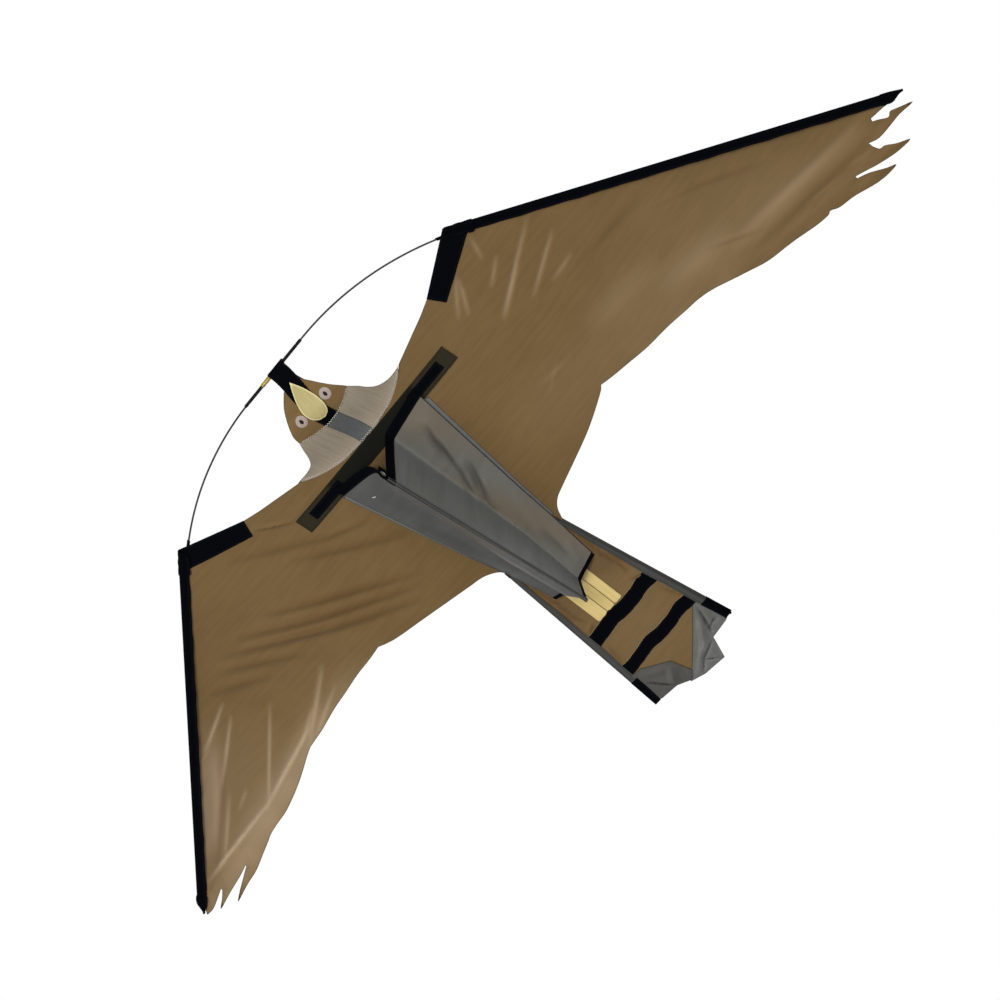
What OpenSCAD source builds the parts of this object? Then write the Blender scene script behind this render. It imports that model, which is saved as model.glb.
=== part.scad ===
// Hawk-shaped bird scarer kite, in the attitude in which it flies.
// Places are measured from the nose: x to the bird's left, y aft, z up, with the chest at z = 0.
// The finished part is moved so that its origin is the centre of the tow eyelet.

/* [Wings] */
// Half the distance between the two wrists
wrist_half = 256; // [240:1:275]
// Distance of the wrists behind the nose
wrist_aft = 47; // [42:1:54]
// Height of the wrists above the chest
wrist_rise = 8; // [4:0.5:10]
// Half the distance between the corners of the trailing edge
kink_half = 212; // [200:1:220]
// Distance of those corners behind the nose
kink_aft = 304; // [296:1:312]
// Reach of the wing tip out from the wing's fold line
wing_reach = 477; // [450:1:500]
// Distance of the wing tip behind the wrist, along the fold line
tip_aft = 248; // [238:1:258]
// Upward slope of the outer wing at rest, in degrees
dihedral = 10.4; // [6:0.2:14]
// Width of the sewn sleeve along the leading edge
wing_sleeve_w = 10.5; // [9.5:0.5:13]
// Diameter of the wing spar
spar_d = 4; // [3:0.5:4.5]
// Length of the thicker cuff at the wrist end of the sleeve
cuff_len = 24; // [16:1:34]

/* [Bow] */
// Diameter of the bow rod
bow_d = 2.2; // [1.8:0.1:2.6]
// Radius to which the bow bends
bow_bend_r = 390; // [375:5:420]
// Half length of the straight stretch at the nose
bow_straight = 50; // [44:1:52]
// Outer diameter of the ferrule
ferrule_d = 5.2; // [4.6:0.1:5.6]
// Ends of the ferrule on the right and on the left of the nose
ferrule_right = 27; // [24:1:30]
ferrule_left = 13; // [12:1:18]
// Outer diameter of the stop tubes beside the ferrule
stop_d = 3.9; // [3.4:0.1:4.4]
// Lengths of the right and left stop tubes
stop_right = 33; // [28:1:38]
stop_left = 33; // [28:1:37]

/* [Head] */
// Sag of the head below the chest
head_droop = 24; // [18:1:28]
// Distance of the lowest place of the head behind the nose
droop_aft = 60; // [56:1:64]
// Half width of the hood at its seam
hood_half = 44; // [41:1:47]
// Distance of the hood's seam behind the nose, on the centre line
hood_aft = 81; // [80:1:84]
// Distance of the neck's rear seam behind the nose, on the centre line
neck_aft = 130.5; // [127:0.5:131]
// Half width of the neck's rear seam
neck_half = 93; // [88:1:97]
// Width of the nose strap and of the face band
face_band_w = 24; // [22:0.5:26]
// Length and greatest width of the beak
beak_len = 52; // [46:1:54]
beak_w = 28; // [25:0.5:30]
// Spacing and diameter of the eyes
eye_gap = 45; // [42:0.5:47]
eye_d = 14.6; // [12:0.2:15.4]
// Length of the pupils
pupil_len = 5.8; // [4.6:0.2:6.6]

/* [Keel] */
// Length and width of the chest strap
strap_len = 279; // [265:1:290]
strap_w = 23.5; // [20:0.5:26]
// Half width of the keel at its front end and at its rear end
keel_front_half = 77; // [72:1:82]
keel_rear_half = 36; // [33:1:37]
// Distance of the keel's rear end behind the nose
keel_rear_aft = 430; // [420:1:432]
// Depth of the keel at its front end and at its rear end
keel_front_depth = 77; // [70:1:86]
keel_rear_depth = 43; // [38:1:48]
// Half width at which the keel's sides turn down, at the front end and at the rear end
keel_fold_half = 13; // [10:0.5:16]
keel_fold_rear = 6; // [5:0.5:8]
// Width of the tape along the keel's edges
binding_w = 12; // [9:0.5:13]
// Inner diameter of the tow eyelet
eyelet_bore = 3.5; // [2.5:0.1:4]

/* [Tail] */
// Half width of the tail at its end, between the rods
tail_half = 72; // [66:1:76]
// Length from the nose to the ends of the spine rods
spine_aft = 604; // [594:1:612]
// Diameter of the spine rods
spine_d = 3; // [2.5:0.1:3.4]
// Width of the sleeves along the edges of the tail
tail_sleeve_w = 9.5; // [8.5:0.5:11]
// Length of the end pockets
tail_pocket_len = 38; // [30:1:44]
// Places of the two dark bands behind the nose, and their widths
band_front_aft = 490; // [488:1:496]
band_front_w = 18; // [14:0.5:22]
band_rear_aft = 545; // [540:1:548]
band_rear_w = 15.5; // [12:0.5:17]
// Width of the pale panel under the tail
undertail_w = 45; // [40:1:50]
// Depth of the crumples in the loose tail flaps
flap_ripple = 7; // [3:0.5:9]

/* [Cloth] */
// Thickness of the sails
sail_t = 0.8; // [0.6:0.1:1]
// Thickness of tapes and patches
tape_t = 0.7; // [0.5:0.1:0.8]

/* [Hidden] */
$fn = 48;
lay = 0.05;             // clearance between two layers of cloth
fold_gap = 0.4;         // clearance each side of the wings' fold lines
seam_gap = 0.15;        // clearance at butted seams
rod_fit = 0.1;          // radial clearance of rods in sleeves and tubes
reach = 60;             // half height of the blocks that cut layers of cloth to outline

bow_r = bow_d / 2;
spar_r = spar_d / 2;
spine_r = spine_d / 2;
pocket_wall = 1.2;      // wall of the pockets and stops that hold rods
bow_z = wrist_rise + sail_t + lay + bow_r + rod_fit + pocket_wall;
bow_front = 1.2;        // place of the bow's straight stretch behind the nose
bow_end_half = wrist_half - 6;
bow_join = -4;          // where the two halves of the bow meet, inside the ferrule

spine_front = 8;        // front ends of the spine rods
spine_front_half = 4.5;
spine_front_z = bow_z + 0.2;
spine_stand = 2.5;      // height of a spine rod's axis above the belly face of the tail
spine_rear_z = 2;
crotch_aft = 368;       // where the wings' trailing edge meets the tail
crotch_half = 46;

fold_len = norm([wrist_half - kink_half, kink_aft - wrist_aft, wrist_rise]);
fold_yaw = atan2(wrist_half - kink_half, kink_aft - wrist_aft);
fold_pitch = -asin(wrist_rise / fold_len);
edge_angle = atan2(tip_aft, wing_reach);
edge_len = norm([wing_reach, tip_aft]);

strap_front = neck_aft + 0.5;
strap_rear = strap_front + strap_w;
keel_front = strap_rear - 10;
keel_apex_aft = keel_front + 16.5;
keel_end_aft = keel_rear_aft + 17;
tow_aft = keel_apex_aft - 7;
tow_depth = keel_front_depth - 4;

// Curves and surfaces of the cloth

function clamp01(a) = max(0, min(1, a));
function ease(a) = let (c = clamp01(a)) c * c * (3 - 2 * c);
function mix(a, b, f) = a + (b - a) * f;
function mirrored(points) = [for (i = [len(points) - 1:-1:0]) [-points[i][0], points[i][1]]];

// Half distance between the fold lines, and between the spine rods, at a place behind the nose
function fold_half(y) = mix(wrist_half, kink_half, (y - wrist_aft) / (kink_aft - wrist_aft));
function spine_half(y) = mix(spine_front_half, tail_half, (y - spine_front) / (spine_aft - spine_front));
function spine_z(y) = mix(spine_front_z, spine_rear_z, (y - spine_front) / (spine_aft - spine_front));

// The sail rises to the wrists, and behind the wings it hangs from the spine rods
function wing_z(x, y) = let (f = clamp01((y - wrist_aft) / (kink_aft - wrist_aft)))
    wrist_rise * (1 - f) * pow(min(1, abs(x) / fold_half(y)), 2);
function tail_z(y) = (spine_z(y) - spine_stand) * ease((y - kink_aft) / (crotch_aft - kink_aft));
function sail_z(x, y) = wing_z(x, y) + tail_z(y);

// The head hangs in a hollow between the bow and the neck's rear seam
function neck_seam(x) = neck_aft - 25 * pow(min(1, abs(x) / neck_half), 2.6);
function hood_seam(x) = hood_aft - 12 * pow(min(1, abs(x) / hood_half), 2);
function head_z(x, y) = y < droop_aft
    ? mix(bow_z - 2.4, -head_droop, ease(y / droop_aft))
    : mix(-head_droop, 0, ease((y - droop_aft) / (neck_seam(x) - droop_aft)));

// The tail's brown cloth ends in a V, and the loose flaps behind that edge hang in crumples
function tail_edge(x) = mix(tail_tip, tail_end, min(1, abs(x) / tail_edge_half));
function flap_z(x, y) = tail_z(y) - flap_ripple * ease((y - tail_edge(x) - 7) / 20)
    * (0.6 + 0.5 * sin(7 * x + 3 * y) + 0.35 * sin(5 * y - 9 * x));

// A closed sheet between two grids of points, each a list of rows
module sheet(lower, upper) {
    rows = len(lower);
    cols = len(lower[0]);
    n = rows * cols;
    low = [for (r = lower) each r];
    high = [for (r = upper) each r];
    rim = concat([for (j = [0:cols - 1]) j], [for (i = [1:rows - 1]) i * cols + cols - 1],
        [for (j = [cols - 2:-1:0]) (rows - 1) * cols + j], [for (i = [rows - 2:-1:1]) i * cols]);
    cells = [for (i = [0:rows - 2], j = [0:cols - 2]) i * cols + j];
    polyhedron(points = concat(low, high), convexity = 6, faces = concat(
        [for (k = cells) each [[k, k + cols + 1, k + 1], [k, k + cols, k + cols + 1]]],
        [for (k = cells) each [[n + k, n + k + 1, n + k + cols + 1], [n + k, n + k + cols + 1, n + k + cols]]],
        [for (i = [0:len(rim) - 1]) let (a = rim[i], b = rim[(i + 1) % len(rim)])
            each [[a, n + b, n + a], [a, b, n + b]]]));
}

function steps(from, to, count) = [for (i = [0:count]) mix(from, to, i / count)];

function span(values) = [min(values) - 1, max(values) + 1];

// Grid lines around a set of places; layers over one another share them, so they stay parallel
function lattice(values, pitch) = let (range = span(values))
    [for (i = [floor(range[0] / pitch):ceil(range[1] / pitch)]) i * pitch];

// Places where the sail's surface bends from front to rear
sail_bends = concat(steps(wrist_aft, kink_aft, 7), steps(kink_aft + 16, crotch_aft, 4));

module cut_to(outline) linear_extrude(2 * reach, center = true) polygon(outline);

// A piece cut from a layer of cloth that follows the sail, the head or the tail's loose flaps,
// between two heights over the belly face of that cloth
module sail_piece(outline, low, high) {
    xs = lattice([for (p = outline) p[0]], 15);
    reach_y = span([for (p = outline) p[1]]);
    ys = [reach_y[0], for (y = sail_bends) if (y > reach_y[0] && y < reach_y[1]) y, reach_y[1]];
    intersection() {
        sheet([for (x = xs) [for (y = ys) [x, y, sail_z(x, y) + low]]],
            [for (x = xs) [for (y = ys) [x, y, sail_z(x, y) + high]]]);
        cut_to(outline);
    }
}

module head_piece(outline, low, high) {
    xs = lattice([for (p = outline) p[0]], 11);
    ys = lattice([for (p = outline) p[1]], 5);
    intersection() {
        sheet([for (x = xs) [for (y = ys) [x, y, head_z(x, y) + low]]],
            [for (x = xs) [for (y = ys) [x, y, head_z(x, y) + high]]]);
        cut_to(outline);
    }
}

module flap_piece(outline, low, high) {
    xs = lattice([for (p = outline) p[0]], 5);
    ys = lattice([for (p = outline) p[1]], 5);
    intersection() {
        sheet([for (x = xs) [for (y = ys) [x, y, flap_z(x, y) + low]]],
            [for (x = xs) [for (y = ys) [x, y, flap_z(x, y) + high]]]);
        cut_to(outline);
    }
}

// A patch on the belly face, in the first or a further layer
function layer_low(layer) = -layer * (tape_t + lay);
module belly_patch(outline, layer = 1) sail_piece(outline, layer_low(layer), layer_low(layer) + tape_t);
module head_patch(outline, layer) head_piece(outline, layer_low(layer), layer_low(layer) + tape_t);

module on_right() mirror([1, 0, 0]) children();

// Frames along the wings, the spine rods and the bow

module wing_frame() translate([wrist_half, wrist_aft, wrist_rise + sail_t / 2])
    rotate([0, 0, fold_yaw]) rotate([fold_pitch, 0, 0]) rotate([0, -dihedral, 0]) children();

// x along the leading edge, y aft from it, and the profile drawn in y and z
module along_edge(from, to) wing_frame() rotate([0, 0, edge_angle]) translate([from, 0, 0])
    rotate([90, 0, 90]) linear_extrude(to - from) children();

spine_run = [tail_half - spine_front_half, spine_aft - spine_front, spine_rear_z - spine_front_z];
spine_len = norm(spine_run);
module along_spine(from, to) translate([spine_front_half, spine_front, spine_front_z])
    rotate([0, -asin(spine_run[2] / spine_len), atan2(spine_run[1], spine_run[0])])
    translate([from, 0, 0]) rotate([90, 0, 90]) linear_extrude(to - from) children();
function spine_at(y) = (y - spine_front) / (spine_aft - spine_front) * spine_len;

// A solid with the bow's round section, from one half width to another
module along_bow(from, to, r) translate([0, bow_front, bow_z]) {
    if (from < bow_straight) translate([from, 0, 0]) rotate([0, 90, 0])
        cylinder(h = min(to, bow_straight) - from, r = r);
    if (to > bow_straight) {
        start = asin(max(0, from - bow_straight) / bow_bend_r);
        end = asin((to - bow_straight) / bow_bend_r);
        translate([bow_straight, bow_bend_r, 0]) rotate([0, 0, start - 90])
            rotate_extrude(angle = end - start, $fn = 96) translate([bow_bend_r, 0]) circle(r, $fn = 24);
    }
}

module bow_tube(from, to, r) difference() {
    along_bow(from, to, r);
    along_bow(from - 1, to + 1, bow_r + rod_fit);
}

// Outlines

neck_edge = [for (x = steps(0, neck_half, 10)) [x, neck_seam(x)]];
patch_start = [wrist_half - 81, wrist_aft + 36];    // inner end of the wrist patch, on the leading edge
brow = [for (f = steps(0.2, 0.8, 3)) [mix(neck_half, patch_start[0], f),
    mix(neck_seam(neck_half), patch_start[1], f) - 9 * f * (1 - f)]];

sail_half = concat(neck_edge, brow, [patch_start,
    [wrist_half - fold_gap, wrist_aft], [kink_half - fold_gap, kink_aft],
    [crotch_half + 18, crotch_aft - 20], [crotch_half + 5, crotch_aft - 12]]);
tail_inset = spine_r + 1.8;
tail_end = spine_aft - 34;
tail_tip = spine_aft + 6;   // point of the V in which the tail's brown cloth ends
tail_edge_half = tail_half * 0.66;
tail_half_outline = [[spine_half(crotch_aft) - tail_inset, crotch_aft],
    [spine_half(tail_end) - tail_inset, tail_end], [tail_edge_half, tail_end], [0, tail_tip]];

// Feather fingers at the wing tip: the place before the first, then each finger's end and the notch after it,
// measured inward and forward from the wing tip
feather_start = [137, -44];
feather_ends = [[69, -63], [35, -47], [7, -21]];
feather_notches = [[104, -41], [72, -24], [49, -6]];
feather_bulge = 4;

function from_tip(p) = [wing_reach, tip_aft] - p;
function finger(i) = let (root = from_tip(i == 0 ? feather_start : feather_notches[i - 1]),
    end = from_tip(feather_ends[i]), notch = from_tip(feather_notches[i]))
    [root, mix(root, end, 0.55) + [0, feather_bulge], end, mix(end, notch, 0.5) - [0, feather_bulge / 2]];

sail_edge = spar_r + pocket_wall + spar_r + 0.4;   // how far the sail's edge lies behind the sleeve's outer edge
function edge_point(s, off) = [s * cos(edge_angle) - off * sin(edge_angle),
    s * sin(edge_angle) + off * cos(edge_angle)];
wing_sweep = [for (a = steps(0, 90, 6)) [150 + 75 * sin(a), fold_len + 15 * (1 - cos(a))]];
function wing_outline() = concat([[fold_gap, fold_len]], wing_sweep,
    [for (i = [0:len(feather_ends) - 1]) each finger(i)], [from_tip(feather_notches[len(feather_ends) - 1]),
    edge_point(edge_len - tip_cap_len - 1, sail_edge + 3), edge_point(edge_len - tip_cap_len - 1, sail_edge),
    edge_point(wing_cuff_start + 2, sail_edge), [fold_gap, sail_edge + 8]]);

function beak_half(f) = beak_w / 2 * (f < 0.65 ? sin(90 * f / 0.65) : sqrt(1 - pow((f - 0.65) / 0.35, 2)));
beak_front = hood_aft - 9 - beak_len;
beak_side = [for (f = steps(0, 1, 20)) [beak_half(f), beak_front + beak_len * f]];

hood_front = 25;
hood_side = concat([[face_band_w / 2, hood_front]], [for (f = steps(0.25, 0.75, 2))
    [mix(face_band_w / 2, hood_half, f) + 9 * f * (1 - f), mix(hood_front, hood_seam(hood_half), f)]]);
hood_rear = [for (x = steps(hood_half, 0, 8)) [x, hood_seam(x) - seam_gap]];
neck_side = [for (f = steps(0.2, 0.8, 3)) [mix(hood_half, neck_half, f) - 34 * f * (1 - f),
    mix(hood_seam(hood_half), neck_seam(neck_half), f) + 40 * f * (1 - f)]];
neck_outline = concat([for (x = steps(0, hood_half, 8)) [x, hood_seam(x) + seam_gap]], neck_side,
    [for (x = steps(neck_half, 0, 10)) [x, neck_seam(x) - seam_gap]]);

// Sails and the leading edges

module body_sail() color("#7a6244") {
    half = concat(sail_half, tail_half_outline);
    sail_piece(concat(half, mirrored(half)), 0, sail_t);
}

module left_wing_sail() color("#7a6244") wing_frame() linear_extrude(sail_t, center = true)
    polygon(wing_outline());

module sleeve_profile(grow) difference() {
    union() {
        translate([spar_r + pocket_wall, 0]) circle(spar_r + pocket_wall + grow);
        translate([spar_r + pocket_wall, -sail_t / 2 - tape_t - lay - grow])
            square([wing_sleeve_w - spar_r - pocket_wall, sail_t + 2 * (tape_t + lay + grow)]);
    }
    translate([sail_edge - 0.4, -sail_t / 2 - lay]) square([wing_sleeve_w, sail_t + 2 * lay]);
}

wing_cuff_start = 8;
wing_cuff_end = wing_cuff_start + cuff_len;
tip_cap_len = 14;
module left_wing_sleeve() color("#0c0c12") along_edge(wing_cuff_end + seam_gap, edge_len - tip_cap_len)
    difference() {
        sleeve_profile(0);
        translate([spar_r + pocket_wall, 0]) circle(spar_r + rod_fit);
    }

module left_wing_cuff() color("#0c0c12") along_edge(wing_cuff_start, wing_cuff_end) difference() {
    sleeve_profile(0.6);
    translate([spar_r + pocket_wall, 0]) circle(spar_r + rod_fit);
}

module left_wing_spar() color("#1c1c1e") along_edge(wing_cuff_start + 1, edge_len - tip_cap_len - 0.4)
    translate([spar_r + pocket_wall, 0]) circle(spar_r);

module left_tip_cap() color("#0c0c12") intersection() {
    along_edge(edge_len - tip_cap_len + seam_gap, edge_len) sleeve_profile(0.3);
    wing_frame() linear_extrude(40, center = true) polygon([edge_point(edge_len - 2 * tip_cap_len, -4),
        edge_point(edge_len - 4, -4), edge_point(edge_len, 2), edge_point(edge_len - 8, 16),
        edge_point(edge_len - 2 * tip_cap_len, 16)]);
}

patch_w = 23;
patch_run = [wrist_half - patch_start[0], wrist_aft - patch_start[1]];
patch_aft = patch_w * [-patch_run[1], patch_run[0]] / norm(patch_run);
module left_wrist_patch() color("#0c0c12") intersection() {
    belly_patch([patch_start, [wrist_half + 5, wrist_aft - 2.2], [wrist_half + 5, wrist_aft] + patch_aft,
        patch_start + patch_aft]);
    cut_to([[0, wrist_aft - 9], [fold_half(wrist_aft - 9) - fold_gap, wrist_aft - 9],
        [kink_half - fold_gap, kink_aft], [0, kink_aft]]);
}

module left_wrist_pocket() color("#0c0c12")
    bow_tube(bow_end_half - 18, bow_end_half + 1, bow_r + rod_fit + pocket_wall);

// Bow, ferrule and stops

module left_bow() color("#141416") along_bow(bow_join + lay, bow_end_half, bow_r);
module right_bow() color("#141416") on_right() along_bow(-bow_join + lay, bow_end_half, bow_r);

module bow_ferrule() color("#b08d3e") translate([-ferrule_right, bow_front, bow_z]) rotate([0, 90, 0])
    difference() {
        cylinder(h = ferrule_right + ferrule_left, d = ferrule_d);
        translate([0, 0, -1]) cylinder(h = ferrule_right + ferrule_left + 2, r = bow_r + rod_fit);
    }

module left_bow_stop() color("#101012")
    bow_tube(ferrule_left + seam_gap, ferrule_left + stop_left, stop_d / 2);
module right_bow_stop() color("#101012") on_right()
    bow_tube(ferrule_right + seam_gap, ferrule_right + stop_right, stop_d / 2);

// Head

nose_pocket_len = 12;
nose_pocket_w = 16;
module nose_strap() color("#0c0c14") difference() {
    union() {
        translate([-face_band_w / 2, bow_front, bow_z]) rotate([0, 90, 0])
            cylinder(h = face_band_w, d = ferrule_d + 2 * pocket_wall);
        translate([-nose_pocket_w / 2, bow_front, bow_z - ferrule_d / 2])
            cube([nose_pocket_w, spine_front + nose_pocket_len - bow_front, ferrule_d]);
    }
    translate([-face_band_w / 2 - 1, bow_front, bow_z]) rotate([0, 90, 0])
        cylinder(h = face_band_w + 2, r = ferrule_d / 2 + rod_fit);
    along_spine(-0.2, 2 * nose_pocket_len) circle(spine_r + rod_fit);
    on_right() along_spine(-0.2, 2 * nose_pocket_len) circle(spine_r + rod_fit);
}

module hood() color("#80663f")
    head_piece(concat(hood_side, hood_rear, mirrored(concat(hood_side, hood_rear))), 0, sail_t);

module face_band() color("#0c0c14") head_patch([[-face_band_w / 2, 6], [face_band_w / 2, 6],
    [face_band_w / 2, hood_seam(face_band_w / 2) - 0.5], [-face_band_w / 2, hood_seam(face_band_w / 2) - 0.5]], 1);

module beak() color("#cdbe7d") head_patch(concat(beak_side, mirrored(beak_side)), 2);

eye_aft = hood_aft - 26.3;
module at_eyes() for (side = [-1, 1]) translate([side * eye_gap / 2, eye_aft, 0]) children();
module pupil_outline() scale([0.7, 1]) circle(d = pupil_len, $fn = 20);
eye_box = [for (x = [-1, 1], y = [-1, 1]) [x * (eye_gap + eye_d) / 2, eye_aft + x * y * eye_d / 2]];
module eye_rings() color("#b9afaa") intersection() {
    head_patch(eye_box, 1);
    at_eyes() linear_extrude(2 * reach, center = true) difference() {
        circle(d = eye_d, $fn = 28);
        pupil_outline();
    }
}
module pupils() color("#0a0a0a") intersection() {
    head_patch(eye_box, 1);
    at_eyes() linear_extrude(2 * reach, center = true) scale(0.97) pupil_outline();
}

module neck_panel() color("#968773") head_piece(concat(neck_outline, mirrored(neck_outline)), 0, sail_t);

throat_w = face_band_w - 2;
module throat_band() color("#5a5c5c") head_patch([[-throat_w / 2, hood_aft + 0.5], [throat_w / 2, hood_aft + 0.5],
    [throat_w / 2, neck_aft - 0.6], [-throat_w / 2, neck_aft - 0.6]], 1);

// Keel: each side runs flat along the sail and turns down to the ridge

function keel_side(u) = let (x = mix(keel_front_half, keel_rear_half, u), y = mix(keel_front, keel_rear_aft, u))
    [x, y, sail_z(x, y) - tape_t - 4 * lay];
function keel_ridge(u) = [0.5, mix(keel_apex_aft, keel_end_aft, u),
    mix(-keel_front_depth, tail_z(keel_end_aft) - keel_rear_depth, u)];
function keel_fold(u) = let (side = keel_side(u), ridge = keel_ridge(u))
    [mix(keel_fold_half, keel_fold_rear, u), mix(side[1], ridge[1], 0.1), side[2] - 3];
fold_sharp = 4;             // how closely a side follows its fold line
function keel_point(u, v) = let (a = pow(1 - v, 2), b = 2 * fold_sharp * v * (1 - v), c = v * v)
    (a * keel_side(u) + b * keel_fold(u) + c * keel_ridge(u)) / (a + b + c);
function unit(v) = v / norm(v);
function keel_normal(u, v) = unit(cross(keel_point(u + 0.01, v) - keel_point(u - 0.01, v),
    keel_point(u, v - 0.01) - keel_point(u, v + 0.01)));

// A piece of cloth on the keel's left side, from one height over its inner face to another
module keel_layer(us, vs, low, high) {
    function place(u, v, h) = keel_point(u, v) + h * keel_normal(u, v);
    sheet([for (u = us) [for (v = vs) place(u, v, high)]], [for (u = us) [for (v = vs) place(u, v, low)]]);
}

keel_vs = steps(0, 1, 18);
module left_keel_panel() color("#68685f") keel_layer(steps(0, 1, 14), keel_vs, 0, sail_t);

binding_share = binding_w / (keel_rear_aft - keel_front);
over_panel = sail_t + lay;
binding_end = 18.5;         // how far the tape ends before the end of the chest strap
module left_mouth_binding() color("#0a0a12") {
    keel_layer([0, binding_share / 2, binding_share], keel_vs, over_panel, over_panel + tape_t);
    from = strap_front + (strap_w - binding_w) / 2;
    end = strap_len / 2 - binding_end;
    belly_patch([[keel_front_half + 1, from], [end, from], [end, from + binding_w],
        [keel_front_half + 1, from + binding_w]], 2);
}

module left_rear_binding() color("#0a0a12")
    keel_layer([1 - binding_share / 2, 1], keel_vs, over_panel, over_panel + tape_t);

hem_w = 8;
hem_end_w = 1.5;
function keel_share(y) = (y - keel_front) / (keel_rear_aft - keel_front);
module left_keel_hem() color("#5d5d5a") {
    front = keel_side(keel_share(strap_rear + 0.3));
    end = keel_side(keel_share(crotch_aft - 3));
    belly_patch([[front[0] + seam_gap, front[1]], [front[0] + hem_w, front[1]],
        [end[0] + hem_end_w, end[1]], [end[0] + seam_gap, end[1]]]);
}

ridge_r = 1;
module ridge_tape() color("#2b2b2b") {
    start = keel_ridge(0) - [0.5, 0, ridge_r + 0.4];
    run = keel_ridge(1) - keel_ridge(0);
    translate(start) rotate([-90 + asin(run[2] / norm(run)), 0, 0]) cylinder(h = norm(run), r = ridge_r, $fn = 20);
}

module chest_strap() color("#413c2d") belly_patch([[-strap_len / 2, strap_front], [strap_len / 2, strap_front],
    [strap_len / 2, strap_rear], [-strap_len / 2, strap_rear]]);

// Tow point

tab_t = 2;
eyelet_wall = 0.8;
flange_r = eyelet_bore / 2 + 2.2;
flange_t = 0.5;
tab_rear = keel_apex_aft - 0.3;
module across(h) rotate([0, 90, 0]) translate([0, 0, -h / 2]) children();
module tow_tab() color("#0a0a12") difference() {
    rotate([90, 0, 90]) linear_extrude(tab_t, center = true) polygon([[tow_aft - 6, -tow_depth + 13],
        [tab_rear - 3.6, -tow_depth + 13], [tab_rear, -tow_depth - 5], [tow_aft + 1, -tow_depth - 8],
        [tow_aft - 5.5, -tow_depth - 3]]);
    translate([0, tow_aft, -tow_depth]) across(tab_t + 2)
        cylinder(h = tab_t + 2, r = eyelet_bore / 2 + eyelet_wall + lay);
}

module tow_eyelet() color("#c9c9c6") translate([0, tow_aft, -tow_depth]) difference() {
    union() {
        across(tab_t + 2 * flange_t + 2 * lay)
            cylinder(h = tab_t + 2 * flange_t + 2 * lay, r = eyelet_bore / 2 + eyelet_wall);
        for (side = [-1, 1]) translate([side * (tab_t / 2 + lay + flange_t / 2), 0, 0]) across(flange_t)
            cylinder(h = flange_t, r = flange_r);
    }
    across(tab_t + 8) cylinder(h = tab_t + 8, r = eyelet_bore / 2);
}

// Tail

module undertail_panel() color("#cdb982") {
    strip = undertail_w / 3;
    for (i = [-1, 0, 1]) belly_patch([[i * strip - strip / 2 + 0.2, keel_rear_aft - 4],
        [i * strip + strip / 2 - 0.2, keel_rear_aft - 4], [i * strip + strip / 2 - 0.2, band_front_aft - 2.2],
        [i * strip - strip / 2 + 0.2, band_front_aft - 2.2]]);
}

function band_edge(y) = spine_half(y) - tail_sleeve_w - 0.4;
module tail_band(aft, w) {
    sway = 1.6;
    function wave(x) = sway * sin(360 * x / 60);
    front = [for (f = steps(-1, 1, 16)) [f * band_edge(aft), aft + wave(f * band_edge(aft))]];
    rear = [for (f = steps(1, -1, 16)) [f * band_edge(aft + w), aft + w + wave(f * band_edge(aft + w))]];
    belly_patch(concat(front, rear));
}
module tail_band_front() color("#08080e") tail_band(band_front_aft, band_front_w);
module tail_band_rear() color("#08080e") tail_band(band_rear_aft, band_rear_w);

module tail_sleeve_profile(grow) difference() {
    union() {
        circle(spine_r + rod_fit + 1 + grow);
        translate([0, -spine_stand - tape_t - lay - grow])
            square([tail_sleeve_w, sail_t + 2 * (tape_t + lay + grow)]);
    }
    translate([tail_inset - 0.3, -spine_stand - lay]) square([tail_sleeve_w, sail_t + 2 * lay]);
}

pocket_start = spine_at(spine_aft - tail_pocket_len + 4);
module left_tail_sleeve() color("#4b4b4b") along_spine(spine_at(crotch_aft + 3), pocket_start - seam_gap)
    difference() {
        tail_sleeve_profile(0);
        circle(spine_r + rod_fit);
    }

module left_spine_rod() color("#1c1c1e") along_spine(0, spine_len) circle(spine_r);

module left_tail_pocket() color("#0a0a12") difference() {
    along_spine(pocket_start, spine_len + 4) tail_sleeve_profile(0.4);
    along_spine(pocket_start - 1, spine_len + 0.4) circle(spine_r + rod_fit);
}

flap_lap = 5;               // how far a flap runs in over the back of the tail's edge
flap_inset = 1.2;           // clearance beside the end pockets
flap_len = 28;
module left_tail_flap() color("#6b6c69") flap_piece([[seam_gap, tail_tip - flap_lap],
    [tail_edge_half, tail_end - flap_lap], [spine_half(tail_end) - tail_sleeve_w - flap_inset, tail_end - flap_lap],
    [tail_half - tail_sleeve_w - flap_inset, spine_aft + 3], [tail_half / 2, spine_aft + 4],
    [tail_half / 3, spine_aft + flap_len], [seam_gap, spine_aft + flap_len]],
    sail_t + lay, sail_t + lay + tape_t);

// The whole kite, moved to its origin

module at_tow() translate([0, -tow_aft, tow_depth]) children();

at_tow() body_sail();
at_tow() left_wing_sail();
at_tow() on_right() left_wing_sail();  // right_wing_sail
at_tow() left_wing_sleeve();
at_tow() on_right() left_wing_sleeve();  // right_wing_sleeve
at_tow() left_wing_spar();
at_tow() on_right() left_wing_spar();  // right_wing_spar
at_tow() left_wing_cuff();
at_tow() on_right() left_wing_cuff();  // right_wing_cuff
at_tow() left_tip_cap();
at_tow() on_right() left_tip_cap();  // right_tip_cap
at_tow() left_wrist_patch();
at_tow() on_right() left_wrist_patch();  // right_wrist_patch
at_tow() left_wrist_pocket();
at_tow() on_right() left_wrist_pocket();  // right_wrist_pocket
at_tow() left_bow();
at_tow() right_bow();
at_tow() bow_ferrule();
at_tow() left_bow_stop();
at_tow() right_bow_stop();
at_tow() nose_strap();
at_tow() face_band();
at_tow() beak();
at_tow() hood();
at_tow() eye_rings();
at_tow() pupils();
at_tow() neck_panel();
at_tow() throat_band();
at_tow() chest_strap();
at_tow() left_keel_panel();
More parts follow.
